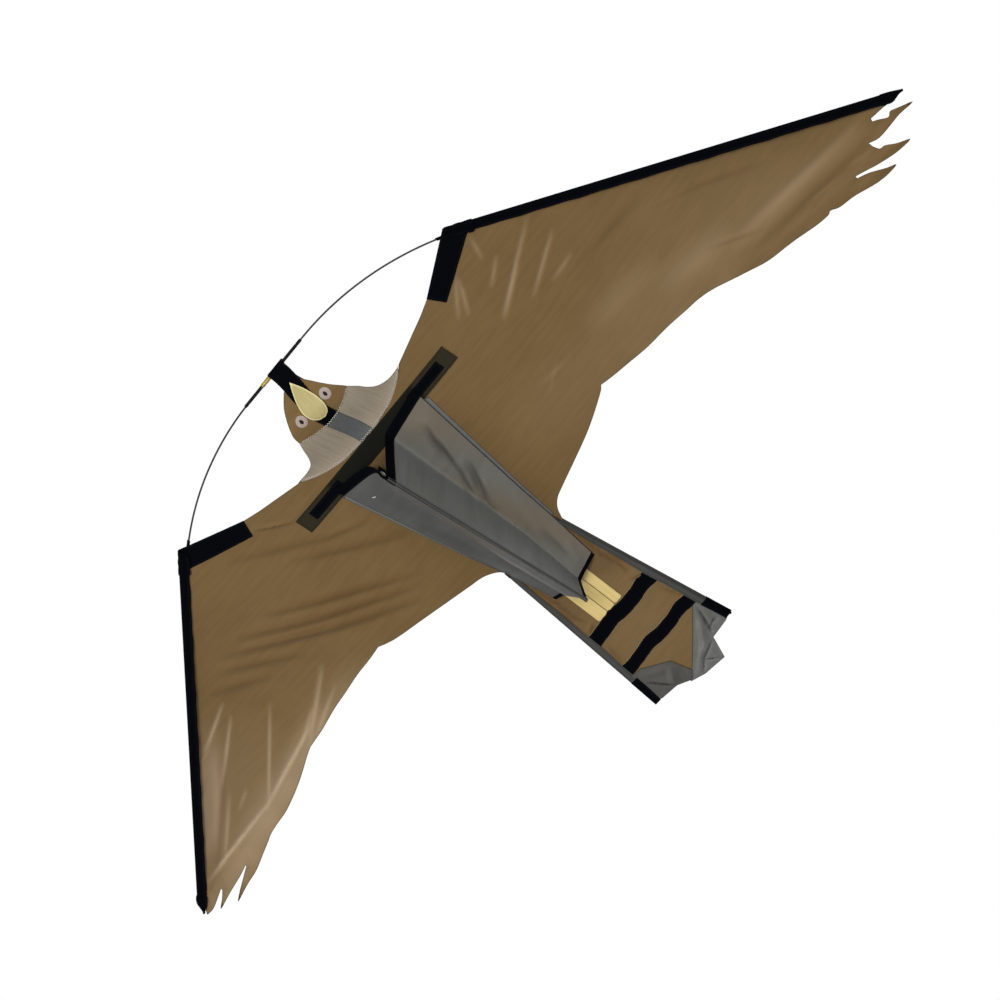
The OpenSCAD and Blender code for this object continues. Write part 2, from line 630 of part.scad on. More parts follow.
at_tow() on_right() left_keel_panel();  // right_keel_panel
at_tow() left_mouth_binding();
at_tow() on_right() left_mouth_binding();  // right_mouth_binding
at_tow() left_rear_binding();
at_tow() on_right() left_rear_binding();  // right_rear_binding
at_tow() left_keel_hem();
at_tow() on_right() left_keel_hem();  // right_keel_hem
at_tow() ridge_tape();
at_tow() tow_tab();
at_tow() tow_eyelet();
at_tow() undertail_panel();
at_tow() tail_band_front();
at_tow() tail_band_rear();
at_tow() left_tail_sleeve();
at_tow() on_right() left_tail_sleeve();  // right_tail_sleeve
at_tow() left_spine_rod();
at_tow() on_right() left_spine_rod();  // right_spine_rod
at_tow() left_tail_pocket();
at_tow() on_right() left_tail_pocket();  // right_tail_pocket
at_tow() left_tail_flap();
at_tow() on_right() left_tail_flap();  // right_tail_flap
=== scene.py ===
import math

import bpy
import numpy as np
from mathutils import Matrix, Vector
from mathutils.geometry import delaunay_2d_cdt


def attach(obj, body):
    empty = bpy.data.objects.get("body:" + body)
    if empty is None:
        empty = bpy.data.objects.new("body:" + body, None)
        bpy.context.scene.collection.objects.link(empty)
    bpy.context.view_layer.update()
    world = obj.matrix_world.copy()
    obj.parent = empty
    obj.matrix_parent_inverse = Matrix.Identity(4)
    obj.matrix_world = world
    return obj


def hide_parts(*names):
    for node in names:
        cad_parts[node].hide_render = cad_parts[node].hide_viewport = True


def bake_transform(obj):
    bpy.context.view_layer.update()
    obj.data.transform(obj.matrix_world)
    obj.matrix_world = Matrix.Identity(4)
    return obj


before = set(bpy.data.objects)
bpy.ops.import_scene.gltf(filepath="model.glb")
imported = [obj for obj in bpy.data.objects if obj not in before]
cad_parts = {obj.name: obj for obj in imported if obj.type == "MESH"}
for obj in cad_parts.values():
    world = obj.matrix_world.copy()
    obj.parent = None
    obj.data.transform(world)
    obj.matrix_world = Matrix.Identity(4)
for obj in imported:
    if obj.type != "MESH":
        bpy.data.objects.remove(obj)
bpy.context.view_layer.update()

# Places are in millimetres from the kite's nose: x to the bird's left, y aft, z up.
# The frame's origin is the tow eyelet, so row() moves points there and gives metres.
kite = {
    "tow": (0, 154, -73),
    "wrist": (256, 47, 8),
    "kink": (212, 304),
    "wingReach": 477,
    "tipAft": 248,
    "dihedral": 10.4,
    "spineFront": (4.5, 8, 11.45),
    "spineRear": (72, 604, 2),
    "spineStand": 2.5,
    "crotch": 368,
    "creaseSoft": 1.6,
    "billowInner": 4,
    "billowOuter": 7,
    "billowGrowth": 170,
    "billowFade": (250, 200),
    "billowFront": (93, 105),
    "billowRear": (60, 352),
}
sides = {"left": 1, "right": -1}
wristX, wristY, wristZ = kite["wrist"]
kinkX, kinkY = kite["kink"]


def row(points):
    return (np.asarray(points, float) - kite["tow"]) / 1000


def mix(a, b, f):
    return a + (b - a) * f


def ease(a):
    c = np.clip(a, 0, 1)
    return c * c * (3 - 2 * c)


def softPlus(a, k):
    return 0.5 * (a + np.sqrt(a * a + k * k))


# Frame of an outer wing: out from the fold line, aft along it
foldLen = math.dist((wristX, wristY, wristZ), (kinkX, kinkY, 0))
foldYaw = math.atan2(wristX - kinkX, kinkY - wristY)
foldPitch = -math.asin(wristZ / foldLen)
edgeAngle = math.atan2(kite["tipAft"], kite["wingReach"])
edgeLen = math.hypot(kite["tipAft"], kite["wingReach"])
wingTurn = np.array(Matrix.Rotation(foldYaw, 3, "Z") @ Matrix.Rotation(foldPitch, 3, "X")
                    @ Matrix.Rotation(-math.radians(kite["dihedral"]), 3, "Y"))
wingLift = 0.4  # the sail's middle over its belly face


def wingPlace(side, out, aft, rise):
    local = np.stack(np.broadcast_arrays(out, aft, rise), -1).astype(float)
    place = local @ wingTurn.T + (wristX, wristY, wristZ + wingLift)
    place[..., 0] *= side
    return place


def edgePlace(side, along, off, rise):  # along the leading edge, aft from it
    out = along * math.cos(edgeAngle) - off * math.sin(edgeAngle)
    aft = along * math.sin(edgeAngle) + off * math.cos(edgeAngle)
    return wingPlace(side, out, aft, rise)


# Surfaces that the cloth follows
def foldHalf(y):
    return mix(wristX, kinkX, (y - wristY) / (kinkY - wristY))


def spineShare(y):
    front, rear = kite["spineFront"], kite["spineRear"]
    return (y - front[1]) / (rear[1] - front[1])


def spineHalf(y):
    return mix(kite["spineFront"][0], kite["spineRear"][0], spineShare(y))


def spineZ(y):
    return mix(kite["spineFront"][2], kite["spineRear"][2], spineShare(y))


def tailZ(y):
    return (spineZ(y) - kite["spineStand"]) * ease((y - kinkY) / (kite["crotch"] - kinkY))


def wingAxes(reach, y):  # in plan, out from the fold line and aft along it
    dx, dy = reach - wristX, y - wristY
    out = dx * math.cos(foldYaw) + dy * math.sin(foldYaw)
    return out, dy * math.cos(foldYaw) - dx * math.sin(foldYaw)


def billow(reach, y):
    out, aft = wingAxes(reach, y)
    lead = np.maximum(out, 0) * math.tan(edgeAngle)
    chord = foldLen + 0.08 * np.maximum(out, 0) - lead
    outer = np.sin(np.pi * np.clip((aft - lead) / np.maximum(chord, 20), 0, 1))
    full = kite["billowInner"] + kite["billowOuter"] * ease(out / kite["billowGrowth"])
    fadeStart, fadeLength = kite["billowFade"]
    outer = outer * full * (1 - 0.5 * ease((out - fadeStart) / fadeLength))
    (frontX, frontY), (rearX, rearY) = kite["billowFront"], kite["billowRear"]
    front = mix(frontY, wristY, np.clip((reach - frontX) / (wristX - frontX), 0, 1))
    rear = mix(rearY, kinkY, np.clip((reach - rearX) / (kinkX - rearX), 0, 1))
    inner = np.sin(np.pi * np.clip((y - front) / (rear - front), 0, 1))
    inner = inner * kite["billowInner"] * ease((reach - 90) / 90)
    return np.where(out > 0, outer, inner)


def sailZ(x, y):
    reach = np.abs(x)
    back = np.clip((y - wristY) / (kinkY - wristY), 0, 1)
    inner = wristZ * (1 - back) * np.minimum(1, reach / foldHalf(y)) ** 2 + tailZ(y)
    n = wingTurn[:, 2]
    plane = wristZ + wingLift / 2 - (n[0] * (reach - wristX) + n[1] * (y - wristY)) / n[2]
    return inner + softPlus(plane - inner, kite["creaseSoft"]) + billow(reach, y)


head = {"droop": 24, "droopAft": 60, "hoodHalf": 44, "hoodAft": 81, "neckHalf": 93, "neckAft": 130.5,
        "hoodDip": 12, "neckDip": 25, "hoodLap": 1.2, "neckLap": 0.8, "bowZ": 11.25, "bowFront": 1.2,
        "bandHalf": 12}


def neckSeam(x):
    return head["neckAft"] - head["neckDip"] * np.minimum(1, np.abs(x) / head["neckHalf"]) ** 2.6


def hoodSeam(x):
    return head["hoodAft"] - head["hoodDip"] * np.minimum(1, np.abs(x) / head["hoodHalf"]) ** 2


def headZ(x, y):
    nose = mix(head["bowZ"] - 2.4, -head["droop"], ease(y / head["droopAft"]))
    throat = mix(-head["droop"], 0, ease((y - head["droopAft"]) / (neckSeam(x) - head["droopAft"])))
    return np.where(y < head["droopAft"], nose, throat)


# Each fold: x and y of its start and of its end, width, height, and its second side's width to the first's
def foldHeights(x, y, folds, sharp=False):
    total = np.zeros_like(x)
    for x0, y0, x1, y1, width, height, spread in folds:
        length = np.hypot(x1 - x0, y1 - y0)
        dx, dy = (x1 - x0) / length, (y1 - y0) / length
        t = ((x - x0) * dx + (y - y0) * dy) / length
        across = (y - y0) * dx - (x - x0) * dy
        reach = np.where(across > 0, width * spread, width)
        taper = np.sin(np.pi * np.clip(t, 0, 1)) ** 0.8
        section = np.maximum(0, 1 - np.abs(across / reach)) if sharp else np.exp(-((across / reach) ** 2))
        total += height * taper * section
    return total


def creaseShadeShare(x, y, folds, share, sharp=False):  # painted shade along the folds that stand up
    return np.clip(share * foldHeights(x, y, [f for f in folds if f[5] > 0], sharp), 0, 0.6)


# Shader maths: an expression on Values adds its Math nodes
def mathNode(operation, swapped=False):
    return lambda value, other: value.math(operation, other, swapped)


class Value:
    def __init__(self, nodes, socket):
        self.nodes = nodes
        self.socket = socket

    def math(self, operation, other=0.0, swapped=False):
        pair = (other, self) if swapped else (self, other)
        return self.nodes.add("ShaderNodeMath", {"operation": operation}, {0: pair[0], 1: pair[1]})

    __add__, __radd__ = mathNode("ADD"), mathNode("ADD", True)
    __sub__, __rsub__ = mathNode("SUBTRACT"), mathNode("SUBTRACT", True)
    __mul__, __rmul__ = mathNode("MULTIPLY"), mathNode("MULTIPLY", True)


class Nodes:
    def __init__(self, tree):
        self.tree = tree

    def feed(self, socket, value):
        if isinstance(value, Value):
            self.tree.links.new(value.socket, socket)
        else:
            socket.default_value = value

    def add(self, kind, settings, inputs, output=0):
        node = self.tree.nodes.new(kind)
        for key, value in settings.items():
            setattr(node, key, value)
        for key, value in inputs.items():
            self.feed(node.inputs[key], value)
        return Value(self, node.outputs[output])

    def blend(self, factor, a, b):
        return self.add("ShaderNodeMix", {"data_type": "RGBA"}, {0: factor, 6: a, 7: b}, 2)

    def noise(self, vector, scale, detail=2.0):
        return self.add("ShaderNodeTexNoise", {}, {"Vector": vector, "Scale": scale, "Detail": detail})

    def stretched(self, vector, scale):
        return self.add("ShaderNodeVectorMath", {"operation": "MULTIPLY"}, {0: vector, 1: scale})

    def between(self, value, low, high):  # 0 below low, 1 above high, smooth between
        return self.add("ShaderNodeMapRange", {"interpolation_type": "SMOOTHSTEP"},
                        {"Value": value, "From Min": low, "From Max": high})

    def mark(self, name):
        return self.add("ShaderNodeAttribute", {"attribute_name": name}, {}, "Fac")


class Finish(Nodes):
    def __init__(self, name, constants):
        self.material = bpy.data.materials.new(name)
        self.material.use_nodes = True
        super().__init__(self.material.node_tree)
        for socket, value in constants.items():
            self.surface(socket, value)

    def surface(self, socket, value):
        self.feed(self.tree.nodes["Principled BSDF"].inputs[socket], value)

    def bump(self, height, strength, distance=0.001):
        sizes = {"Height": height, "Strength": strength, "Distance": distance}
        self.surface("Normal", self.add("ShaderNodeBump", {}, sizes))


def paint(red, green, blue):  # a colour as a paint chart gives it, 0 to 255
    parts = [c / 255 for c in (red, green, blue)]
    return [c / 12.92 if c <= 0.04045 else ((c + 0.055) / 1.055) ** 2.4 for c in parts] + [1.0]


plainCloth = {   # what a look below doesn't say
    "rough": 0.5, "gloss": 0.25, "shine": (255, 255, 255), "sheen": 0.03, "thread": 0.9, "weaveTone": 0.06,
    "weaveDepth": 0.03, "crumpleDepth": 0.3,
}


def cloth(name, spec):
    look = {**plainCloth, **spec}
    finish = Finish(name, {"Specular IOR Level": look["gloss"], "Specular Tint": paint(*look["shine"]),
                           "Sheen Weight": look["sheen"], "Sheen Roughness": 0.4})
    cut = finish.add("ShaderNodeUVMap", {"uv_map": "cut"}, {})
    u, v = [finish.add("ShaderNodeSeparateXYZ", {}, {0: cut}, axis) for axis in (0, 1)]
    turns = 2 * math.pi / look["thread"]
    weave = (u * turns).math("SINE") * (v * turns).math("SINE")
    streaks = finish.noise(finish.stretched(cut, (*look["streak"], 1)), 1.0)
    cloudy = finish.noise(cut, 0.012, 3.0)
    crumple = finish.noise(cut, 1 / look["crumple"], 3.0)
    tone = finish.between(streaks * 0.55 + cloudy * 0.45 + weave * look["weaveTone"], 0.3, 0.7)
    colour = finish.blend(tone, paint(*look["dark"]), paint(*look["colour"]))
    edge = finish.mark("edge")
    # marks: painted warm light from the brown sail; painted light and sheen; painted highlights and shade of
    # folds
    layers = [(mark, finish.mark(mark)) for mark in ("warm", "pale", "glint", "creaseShade") if mark in look]
    if "middle" in look:  # painted shade: the stretch under the keel's mouth is darker
        reach = look["middleHalf"]
        layers.append(("middle", finish.between(u.math("ABSOLUTE"), reach + 5, reach - 5)))
    if "roll" in look:  # darker where the tape turns round the rod
        layers.append(("roll", finish.between(v, look["rollStart"], look["rollStart"] + 1)))
    if "hem" in look:
        hemLine = finish.between((edge - look["hem"]).math("ABSOLUTE"), 0.25, 0.7)
        stitch = finish.between((finish.mark("along") * (math.pi / 1.6)).math("SINE"), -0.5, 0.1)
        layers.append(("hemColour", (1 - hemLine) * (0.25 + 0.6 * stitch)))
    if "edge" in look:
        layers.append(("edge", finish.between(edge, look["edgeReach"], 0.1)))
    for key, share in layers:
        colour = finish.blend(share, colour, paint(*look[key]))
    finish.surface("Base Color", colour)
    finish.surface("Roughness", look["rough"] + (0.5 - crumple) * 0.16 - weave * 0.03)
    finish.bump(weave * look["weaveDepth"] + crumple * look["crumpleDepth"] + streaks * 0.04, 0.55)
    return finish


# the grey's warm colour is painted light from the brown sail, its crease colour painted shade
greyCloth = {
    "slot": "grey_cloth", "colour": (105, 107, 104), "dark": (93, 95, 92), "warm": (110, 98, 81),
    "creaseShade": (62, 61, 57), "rough": 0.44, "gloss": 0.3, "thread": 0.8, "streak": (0.1, 0.02), "crumple": 12,
    "crumpleDepth": 0.5, "edge": (58, 58, 55), "edgeReach": 0.9,
}
looks = {
    # besides its own colours: painted light, a painted highlight and painted shade for the folds
    "brownSailcloth": {
        "slot": "brown_sailcloth", "colour": (117, 94, 61), "dark": (108, 86, 55), "pale": (149, 128, 101),
        "glint": (196, 176, 148), "creaseShade": (86, 63, 36), "shine": (255, 222, 176), "rough": 0.4,
        "gloss": 0.12, "streak": (0.02, 0.2), "crumple": 16, "crumpleDepth": 0.5, "edge": (74, 58, 38),
        "edgeReach": 1.1,
    },
    "greyCloth": greyCloth,
    # the grey cloth painted darker: painted shade for the keel's right panel, the ridge tape and the right
    # flap
    "shadedGreyCloth": {
        **greyCloth, "colour": (84, 85, 83), "dark": (74, 75, 73), "warm": (80, 71, 60),
        "creaseShade": (44, 44, 42), "rough": 0.5, "gloss": 0.2, "edge": (52, 52, 49),
    },
    "blackTape": {
        "slot": "black_tape", "colour": (6, 7, 12), "dark": (4, 5, 9), "rough": 0.75, "gloss": 0.015,
        "sheen": 0.0, "thread": 1.3, "weaveTone": 0.15, "weaveDepth": 0.07, "streak": (0.4, 0.05),
        "crumple": 6, "crumpleDepth": 0.25, "hem": 1.8, "hemColour": (17, 18, 24),
    },
    # its middle colour is painted shade under the keel's mouth
    "oliveStrap": {
        "slot": "olive_strap", "colour": (50, 45, 33), "dark": (41, 37, 26), "rough": 0.75, "gloss": 0.06,
        "sheen": 0.0, "thread": 1.5, "weaveTone": 0.2, "weaveDepth": 0.1, "streak": (0.4, 0.05), "crumple": 6,
        "crumpleDepth": 0.2, "hem": 1.6, "hemColour": (33, 30, 22), "middle": (21, 22, 17), "middleHalf": 80,
    },
    "creamCloth": {
        "slot": "cream_cloth", "colour": (228, 204, 138), "dark": (210, 186, 121), "gloss": 0.3,
        "streak": (0.5, 0.03), "crumple": 9, "edge": (128, 106, 64), "edgeReach": 0.9,
    },
    "beakCloth": {
        "slot": "cream_cloth", "colour": (184, 171, 119), "dark": (171, 157, 106), "rough": 0.55,
        "weaveTone": 0.12, "weaveDepth": 0.04, "streak": (0.3, 0.08), "crumple": 7, "edge": (216, 207, 152),
        "edgeReach": 2.2,
    },
    "taupeCloth": {
        "slot": "taupe_cloth", "colour": (160, 149, 132), "dark": (141, 129, 112), "rough": 0.6,
        "sheen": 0.05, "thread": 1.1, "weaveTone": 0.12, "weaveDepth": 0.05, "streak": (0.55, 0.025),
        "crumple": 10, "crumpleDepth": 0.4, "edge": (110, 95, 76), "edgeReach": 0.8,
    },
    "greyWeave": {
        "slot": "grey_weave", "colour": (102, 104, 105), "dark": (74, 75, 76), "rough": 0.66, "gloss": 0.2,
        "thread": 2.4, "weaveTone": 0.5, "weaveDepth": 0.14, "streak": (0.5, 0.1), "crumple": 9,
        "crumpleDepth": 0.2, "edge": (54, 56, 57), "edgeReach": 0.7,
    },
    "greySleeve": {
        "slot": "grey_sleeve", "colour": (68, 68, 67), "dark": (57, 57, 56), "rough": 0.55, "thread": 1.0,
        "weaveTone": 0.1, "weaveDepth": 0.05, "streak": (0.05, 0.4), "crumple": 8, "hem": 1.4,
        "hemColour": (40, 40, 40), "roll": (42, 42, 41), "rollStart": 5.5,
    },
    "eyeRingCloth": {
        "slot": "eye_ring_cloth", "colour": (166, 152, 143), "dark": (152, 137, 128), "gloss": 0.3,
        "thread": 0.8, "weaveTone": 0.08, "streak": (0.3, 0.3), "crumple": 5, "crumpleDepth": 0.2,
        "edge": (128, 110, 94), "edgeReach": 0.7,
    },
    "blackPrint": {
        "slot": "black_print", "colour": (12, 8, 8), "dark": (9, 6, 6), "gloss": 0.15, "sheen": 0.0,
        "thread": 0.8, "weaveTone": 0.08, "streak": (0.3, 0.3), "crumple": 5, "crumpleDepth": 0.1,
    },
}
finishes = {name: cloth(name, look) for name, look in looks.items()}
fibre = {"scale": (40, 40, 900), "detail": 3.0, "vary": 0.15, "bump": (0.15, 0.0002)}
twist = {"scale": (1800, 1800, 1800), "detail": 1.0, "vary": 0.2, "bump": (0.4, 0.0003)}


def grainFinish(name, low, high, rough, gloss, grain, sheen=0.0):
    finish = Finish(name, {"Specular IOR Level": gloss, "Sheen Weight": sheen})
    place = finish.add("ShaderNodeTexCoord", {}, {}, "Object")
    share = finish.noise(finish.stretched(place, grain["scale"]), 1.0, grain["detail"])
    finish.surface("Base Color", finish.blend(share, paint(*low), paint(*high)))
    finish.surface("Roughness", rough + share * grain["vary"])
    finish.bump(share, *grain["bump"])
    return finish


def metalFinish(name, colour, worn, rough):
    finish = Finish(name, {})
    place = finish.add("ShaderNodeTexCoord", {}, {}, "Object")
    drawn = finish.noise(finish.stretched(place, (300, 2500, 2500)), 1.0, 2.0)
    stain = finish.between(finish.noise(place, 260.0, 3.0), 0.42, 0.66)
    finish.surface("Base Color", finish.blend(stain * 0.6, paint(*colour), paint(*worn)))
    finish.surface("Metallic", 1 - stain * 0.12)
    finish.surface("Roughness", rough + drawn * 0.14 + stain * 0.1)
    finish.bump(drawn, 0.12, 0.0002)
    return finish


finishes |= {
    "rod": grainFinish("glassRod", (12, 12, 14), (26, 26, 28), 0.36, 0.35, fibre),
    "stopTube": grainFinish("stopTube", (7, 7, 8), (13, 13, 14), 0.6, 0.12, fibre),
    "brass": metalFinish("drawnBrass", (158, 137, 78), (116, 98, 54), 0.36),
    "eyeletMetal": metalFinish("eyeletNickel", (172, 171, 166), (120, 118, 112), 0.34),
    "whiteThread": grainFinish("whiteThread", (186, 180, 168), (222, 217, 206), 0.6, 0.3, twist, 0.2),
    "taupeThread": grainFinish("taupeThread", (128, 110, 84), (158, 140, 112), 0.6, 0.3, twist, 0.2),
    "darkThread": grainFinish("darkThread", (24, 24, 26), (40, 40, 42), 0.6, 0.3, twist, 0.2),
}
print("finishes:", len(finishes))


# Making pieces
def select(piece):
    bpy.ops.object.select_all(action="DESELECT")
    piece.select_set(True)
    bpy.context.view_layer.objects.active = piece


def applyModifier(piece, kind, settings):
    select(piece)
    modifier = piece.modifiers.new(kind.lower(), kind)
    for key, value in settings.items():
        setattr(modifier, key, value)
    bpy.ops.object.modifier_apply(modifier=modifier.name)


def triangleArea(points, faces):
    a, b, c = (points[faces[:, k]] for k in range(3))
    return np.linalg.norm(np.cross(b - a, c - a), axis=1).sum() / 2


def flatSize(points):  # sides of the smallest rectangle that the cut comes out of, in metres
    best = None
    for angle in np.radians(np.arange(0, 90, 2)):
        c, s = math.cos(angle), math.sin(angle)
        turned = points @ np.array([[c, -s], [s, c]])
        size = turned.max(0) - turned.min(0)
        if best is None or size.prod() < best.prod():
            best = size
    return best / 1000


def nodeName(name):  # the node that a piece stands for, unless its sewing names others
    return "".join("_" + c.lower() if c.isupper() else c for c in name)


def clothPiece(name, points, faces, cut, marks, sewing):
    mesh = bpy.data.meshes.new(name)
    mesh.from_pydata(row(points).tolist(), [], [list(f) for f in faces])
    uvs = mesh.uv_layers.new(name="cut")
    corners = np.zeros(len(mesh.loops), int)
    mesh.loops.foreach_get("vertex_index", corners)
    uvs.data.foreach_set("uv", np.asarray(cut, np.float32)[corners].ravel())
    for key, values in marks.items():
        layer = mesh.attributes.new(key, "FLOAT", "POINT")
        layer.data.foreach_set("value", np.asarray(values, np.float32))
    piece = bpy.data.objects.new(name, mesh)
    bpy.context.scene.collection.objects.link(piece)
    mesh.materials.append(finishes[sewing["finish"]].material)
    applyModifier(piece, "SOLIDIFY", {"thickness": sewing["thick"] / 1000, "offset": 0})
    bpy.ops.object.shade_smooth_by_angle(angle=math.radians(50))
    replaced = sewing.get("replaces", [nodeName(name)])
    if replaced:
        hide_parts(*replaced)
    if sewing.get("blend"):
        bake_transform(piece)
    else:
        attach(piece, sewing.get("body", "body"))
    return piece


narrowest = 0.01  # the smallest side, in metres, that declareSheet looks at


def declareSheet(size, area, sewing):
    if min(size) >= narrowest and sewing.get("held"):
        area = min(area, size[0] * size[1])


def resample(outline, pitch):
    ring = []
    for a, b in zip(outline, np.roll(outline, -1, axis=0)):
        count = max(1, int(round(math.dist(a, b) / pitch)))
        ring += [mix(a, b, k / count) for k in range(count)]
    return np.array(ring)


def toOutline(points, ring):  # distance from the outline, and the place along it
    a, b = ring, np.roll(ring, -1, axis=0)
    free = (a[:, 0] != 0) | (b[:, 0] != 0)  # two halves that meet on the centre line have no edge there
    run = b - a
    lengths = np.hypot(*run.T)
    starts = np.concatenate([[0], np.cumsum(lengths)[:-1]])
    a, run, lengths, starts = a[free], run[free], lengths[free], starts[free]
    distance, along = [], []
    for part in np.array_split(points, max(1, len(points) // 1500)):
        gap = part[:, None, :] - a[None]
        t = np.clip((gap * run).sum(2) / np.maximum(lengths ** 2, 1e-9), 0, 1)
        d = np.linalg.norm(gap - t[..., None] * run, axis=2)
        nearest = d.argmin(1)
        pick = np.arange(len(part))
        distance.append(d[pick, nearest])
        along.append(starts[nearest] + t[pick, nearest] * lengths[nearest])
    return np.concatenate(distance), np.concatenate(along)


def inside(points, ring):
    x, y = points[:, :1], points[:, 1:]
    ax, ay = ring.T
    bx, by = np.roll(ring, -1, axis=0).T
    slope = (bx - ax) * (y - ay) / np.where(by == ay, 1e-9, by - ay)
    crosses = ((ay > y) != (by > y)) & (x < slope + ax)
    return crosses.sum(1) % 2 == 1


def cutCloth(outline, pitch):
    ring = resample(np.array(outline, float), pitch)
    low, high = ring.min(0), ring.max(0)
    rows = np.arange(low[1], high[1], pitch * 0.87)
    columns = np.arange(low[0], high[0], pitch)
    grid = [(x + pitch / 2 * (k % 2), y) for k, y in enumerate(rows) for x in columns]
    grid = np.array(grid).reshape(-1, 2)
    grid = grid[inside(grid, ring)]
    grid = grid[(toOutline(grid, ring)[0] > pitch * 0.55) & (np.abs(grid[:, 0]) > pitch * 0.4)]
    places = np.concatenate([ring, grid])
    edges = [(k, (k + 1) % len(ring)) for k in range(len(ring))]
    verts, _, faces, _, _, _ = delaunay_2d_cdt([Vector(p) for p in places], edges, [], 1, 1e-5)
    points = np.array([tuple(p) for p in verts])
    edge, along = toOutline(points, ring)
    return points, np.array([tuple(f) for f in faces]), edge, along


def cutSheet(name, outline, lift, sewing):
    points, faces, edge, along = cutCloth(outline, sewing.get("pitch", 3))
    place = lift(points[:, 0], points[:, 1], edge, along)
    if place.ndim == 1:
        place = np.column_stack([points, place])
    marks = {key: value(*points.T) for key, value in sewing.get("marks", {}).items()}
    piece = clothPiece(name, place, faces, points, {"edge": edge, "along": along, **marks}, sewing)
    declareSheet(flatSize(points), triangleArea(place, faces) / 1e6, sewing)


def arcLengths(points):
    return np.concatenate([[0], np.cumsum(np.linalg.norm(np.diff(points, axis=0), axis=1))])


def stripSheet(name, place, sewing):  # place: rows along the strip, columns across it
    rows, cols = place.shape[:2]
    along, across = arcLengths(place[:, cols // 2]), arcLengths(place[rows // 2])
    cut = np.stack(np.meshgrid(along, across, indexing="ij"), -1).reshape(-1, 2)
    edge = np.minimum(cut[:, 1], across[-1] - cut[:, 1])
    k = (np.arange(rows - 1)[:, None] * cols + np.arange(cols - 1)).ravel()
    faces = np.column_stack([k, k + cols, k + cols + 1, k + 1])
    points = place.reshape(-1, 3)
    marks = {"edge": edge, "along": cut[:, 0], **sewing.get("marks", {})}
    piece = clothPiece(name, points, faces, cut, marks, sewing)
    halves = np.concatenate([faces[:, :3], faces[:, [0, 2, 3]]])
    declareSheet(np.array([across[-1], along[-1]]) / 1000, triangleArea(points, halves) / 1e6, sewing)


def rectangle(left, right, front, rear):
    return np.array([(left, front), (right, front), (right, rear), (left, rear)], float)


def throughPoints(points, steps=6):  # a smooth line through given points
    p = np.array(points, float)
    p = np.concatenate([[2 * p[0] - p[1]], p, [2 * p[-1] - p[-2]]])
    line = []
    for a, b, c, d in zip(p, p[1:], p[2:], p[3:]):
        for t in np.arange(steps) / steps:
            line.append(0.5 * (2 * b + (c - a) * t + (2 * a - 5 * b + 4 * c - d) * t ** 2
                               + (3 * b - a - 3 * c + d) * t ** 3))
    return np.array(line + [p[-2]])


def thread(name, path, radius, finish):
    curve = bpy.data.curves.new(name, "CURVE")
    curve.dimensions = "3D"
    curve.bevel_depth = radius / 1000
    curve.bevel_resolution = 1
    curve.use_fill_caps = True
    spline = curve.splines.new("POLY")
    spline.points.add(len(path) - 1)
    for point, place in zip(spline.points, row(path)):
        point.co = (*place, 1)
    piece = bpy.data.objects.new(name, curve)
    bpy.context.scene.collection.objects.link(piece)
    select(piece)
    bpy.ops.object.convert(target="MESH")
    piece = bpy.context.view_layer.objects.active
    piece.data.materials.append(finishes[finish].material)
    bpy.ops.object.shade_smooth()
    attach(piece, "body")


def zigzag(line, step, width):  # a zigzag stitch along a line in plan
    line = np.array(line, float)
    lengths = arcLengths(line)
    count = int(lengths[-1] / step)
    at = np.linspace(0, lengths[-1], count)
    x, y = np.interp(at, lengths, line[:, 0]), np.interp(at, lengths, line[:, 1])
    dx, dy = np.gradient(x), np.gradient(y)
    size = np.hypot(dx, dy)
    swing = width / 2 * np.where(np.arange(count) % 2, 1, -1)
    return x - dy / size * swing, y + dx / size * swing


keel = {
    "front": 144.5, "rear": 430, "sideFront": 77, "sideRear": 36, "apex": (0.4, 161, -76.6),
    "end": (0.4, 447, -40.6), "thick": 0.45, "lip": 12, "rearLip": 4.6, "hemEnd": 366,
    "hem": {"left": (5.6, 3.4), "right": (5.4, 1.6)}, "seamDrop": (2.3, 0.75), "seamSpan": (0.04, 0.985),
    "tackU": (0.118, 0.124), "tackV": (0.155, 0.185),
    "lipAhead": {"left": (8, 6, 4, 1), "right": (2.5, 2.5, 2, 0.6)},   # of the edge, from side seam to ridge
    "left": {
        "bend": [(15.5, 150, -4.0), (12.0, 350, -6.0), (4.0, 434, -10)], "soft": 0.06, "slack": (2.0, 1.5),
        "folds": [
            (52, 174, 26, 222, 3.5, 2.8, 1.3), (46, 194, 27, 240, 3.2, 3.2, 1.3),
            (31, 236, 10, 277, 3, 2.4, 1.3), (45, 240, 17, 290, 3.6, 3.8, 1.3),
            (19, 274, 8, 321, 3, 2.0, 1.3), (27, 356, 16, 408, 4, 2.2, 1.4),
            (58, 168, 34, 246, 5, -3.0, 1.5), (42, 230, 20, 272, 3.6, -2.6, 1.4),
            (40, 262, 19, 304, 5, -2.4, 1.4), (46, 300, 16, 380, 7, -2.2, 1.4),
            (34, 392, 14, 432, 4, -2.2, 1.5),
        ],
    },
    "right": {
        "bend": [(21.0, 152, -5.0), (17.0, 350, -9.0), (10.0, 434, -8)], "soft": 0.3, "slack": (2.0, 9.0),
        "folds": [
            (-62, 176, -40, 260, 8, -2.0, 1.4), (-52, 240, -36, 340, 7, 2.0, 1.5),
            (-40, 320, -24, 420, 6, -1.6, 1.4),
        ],
    },
}

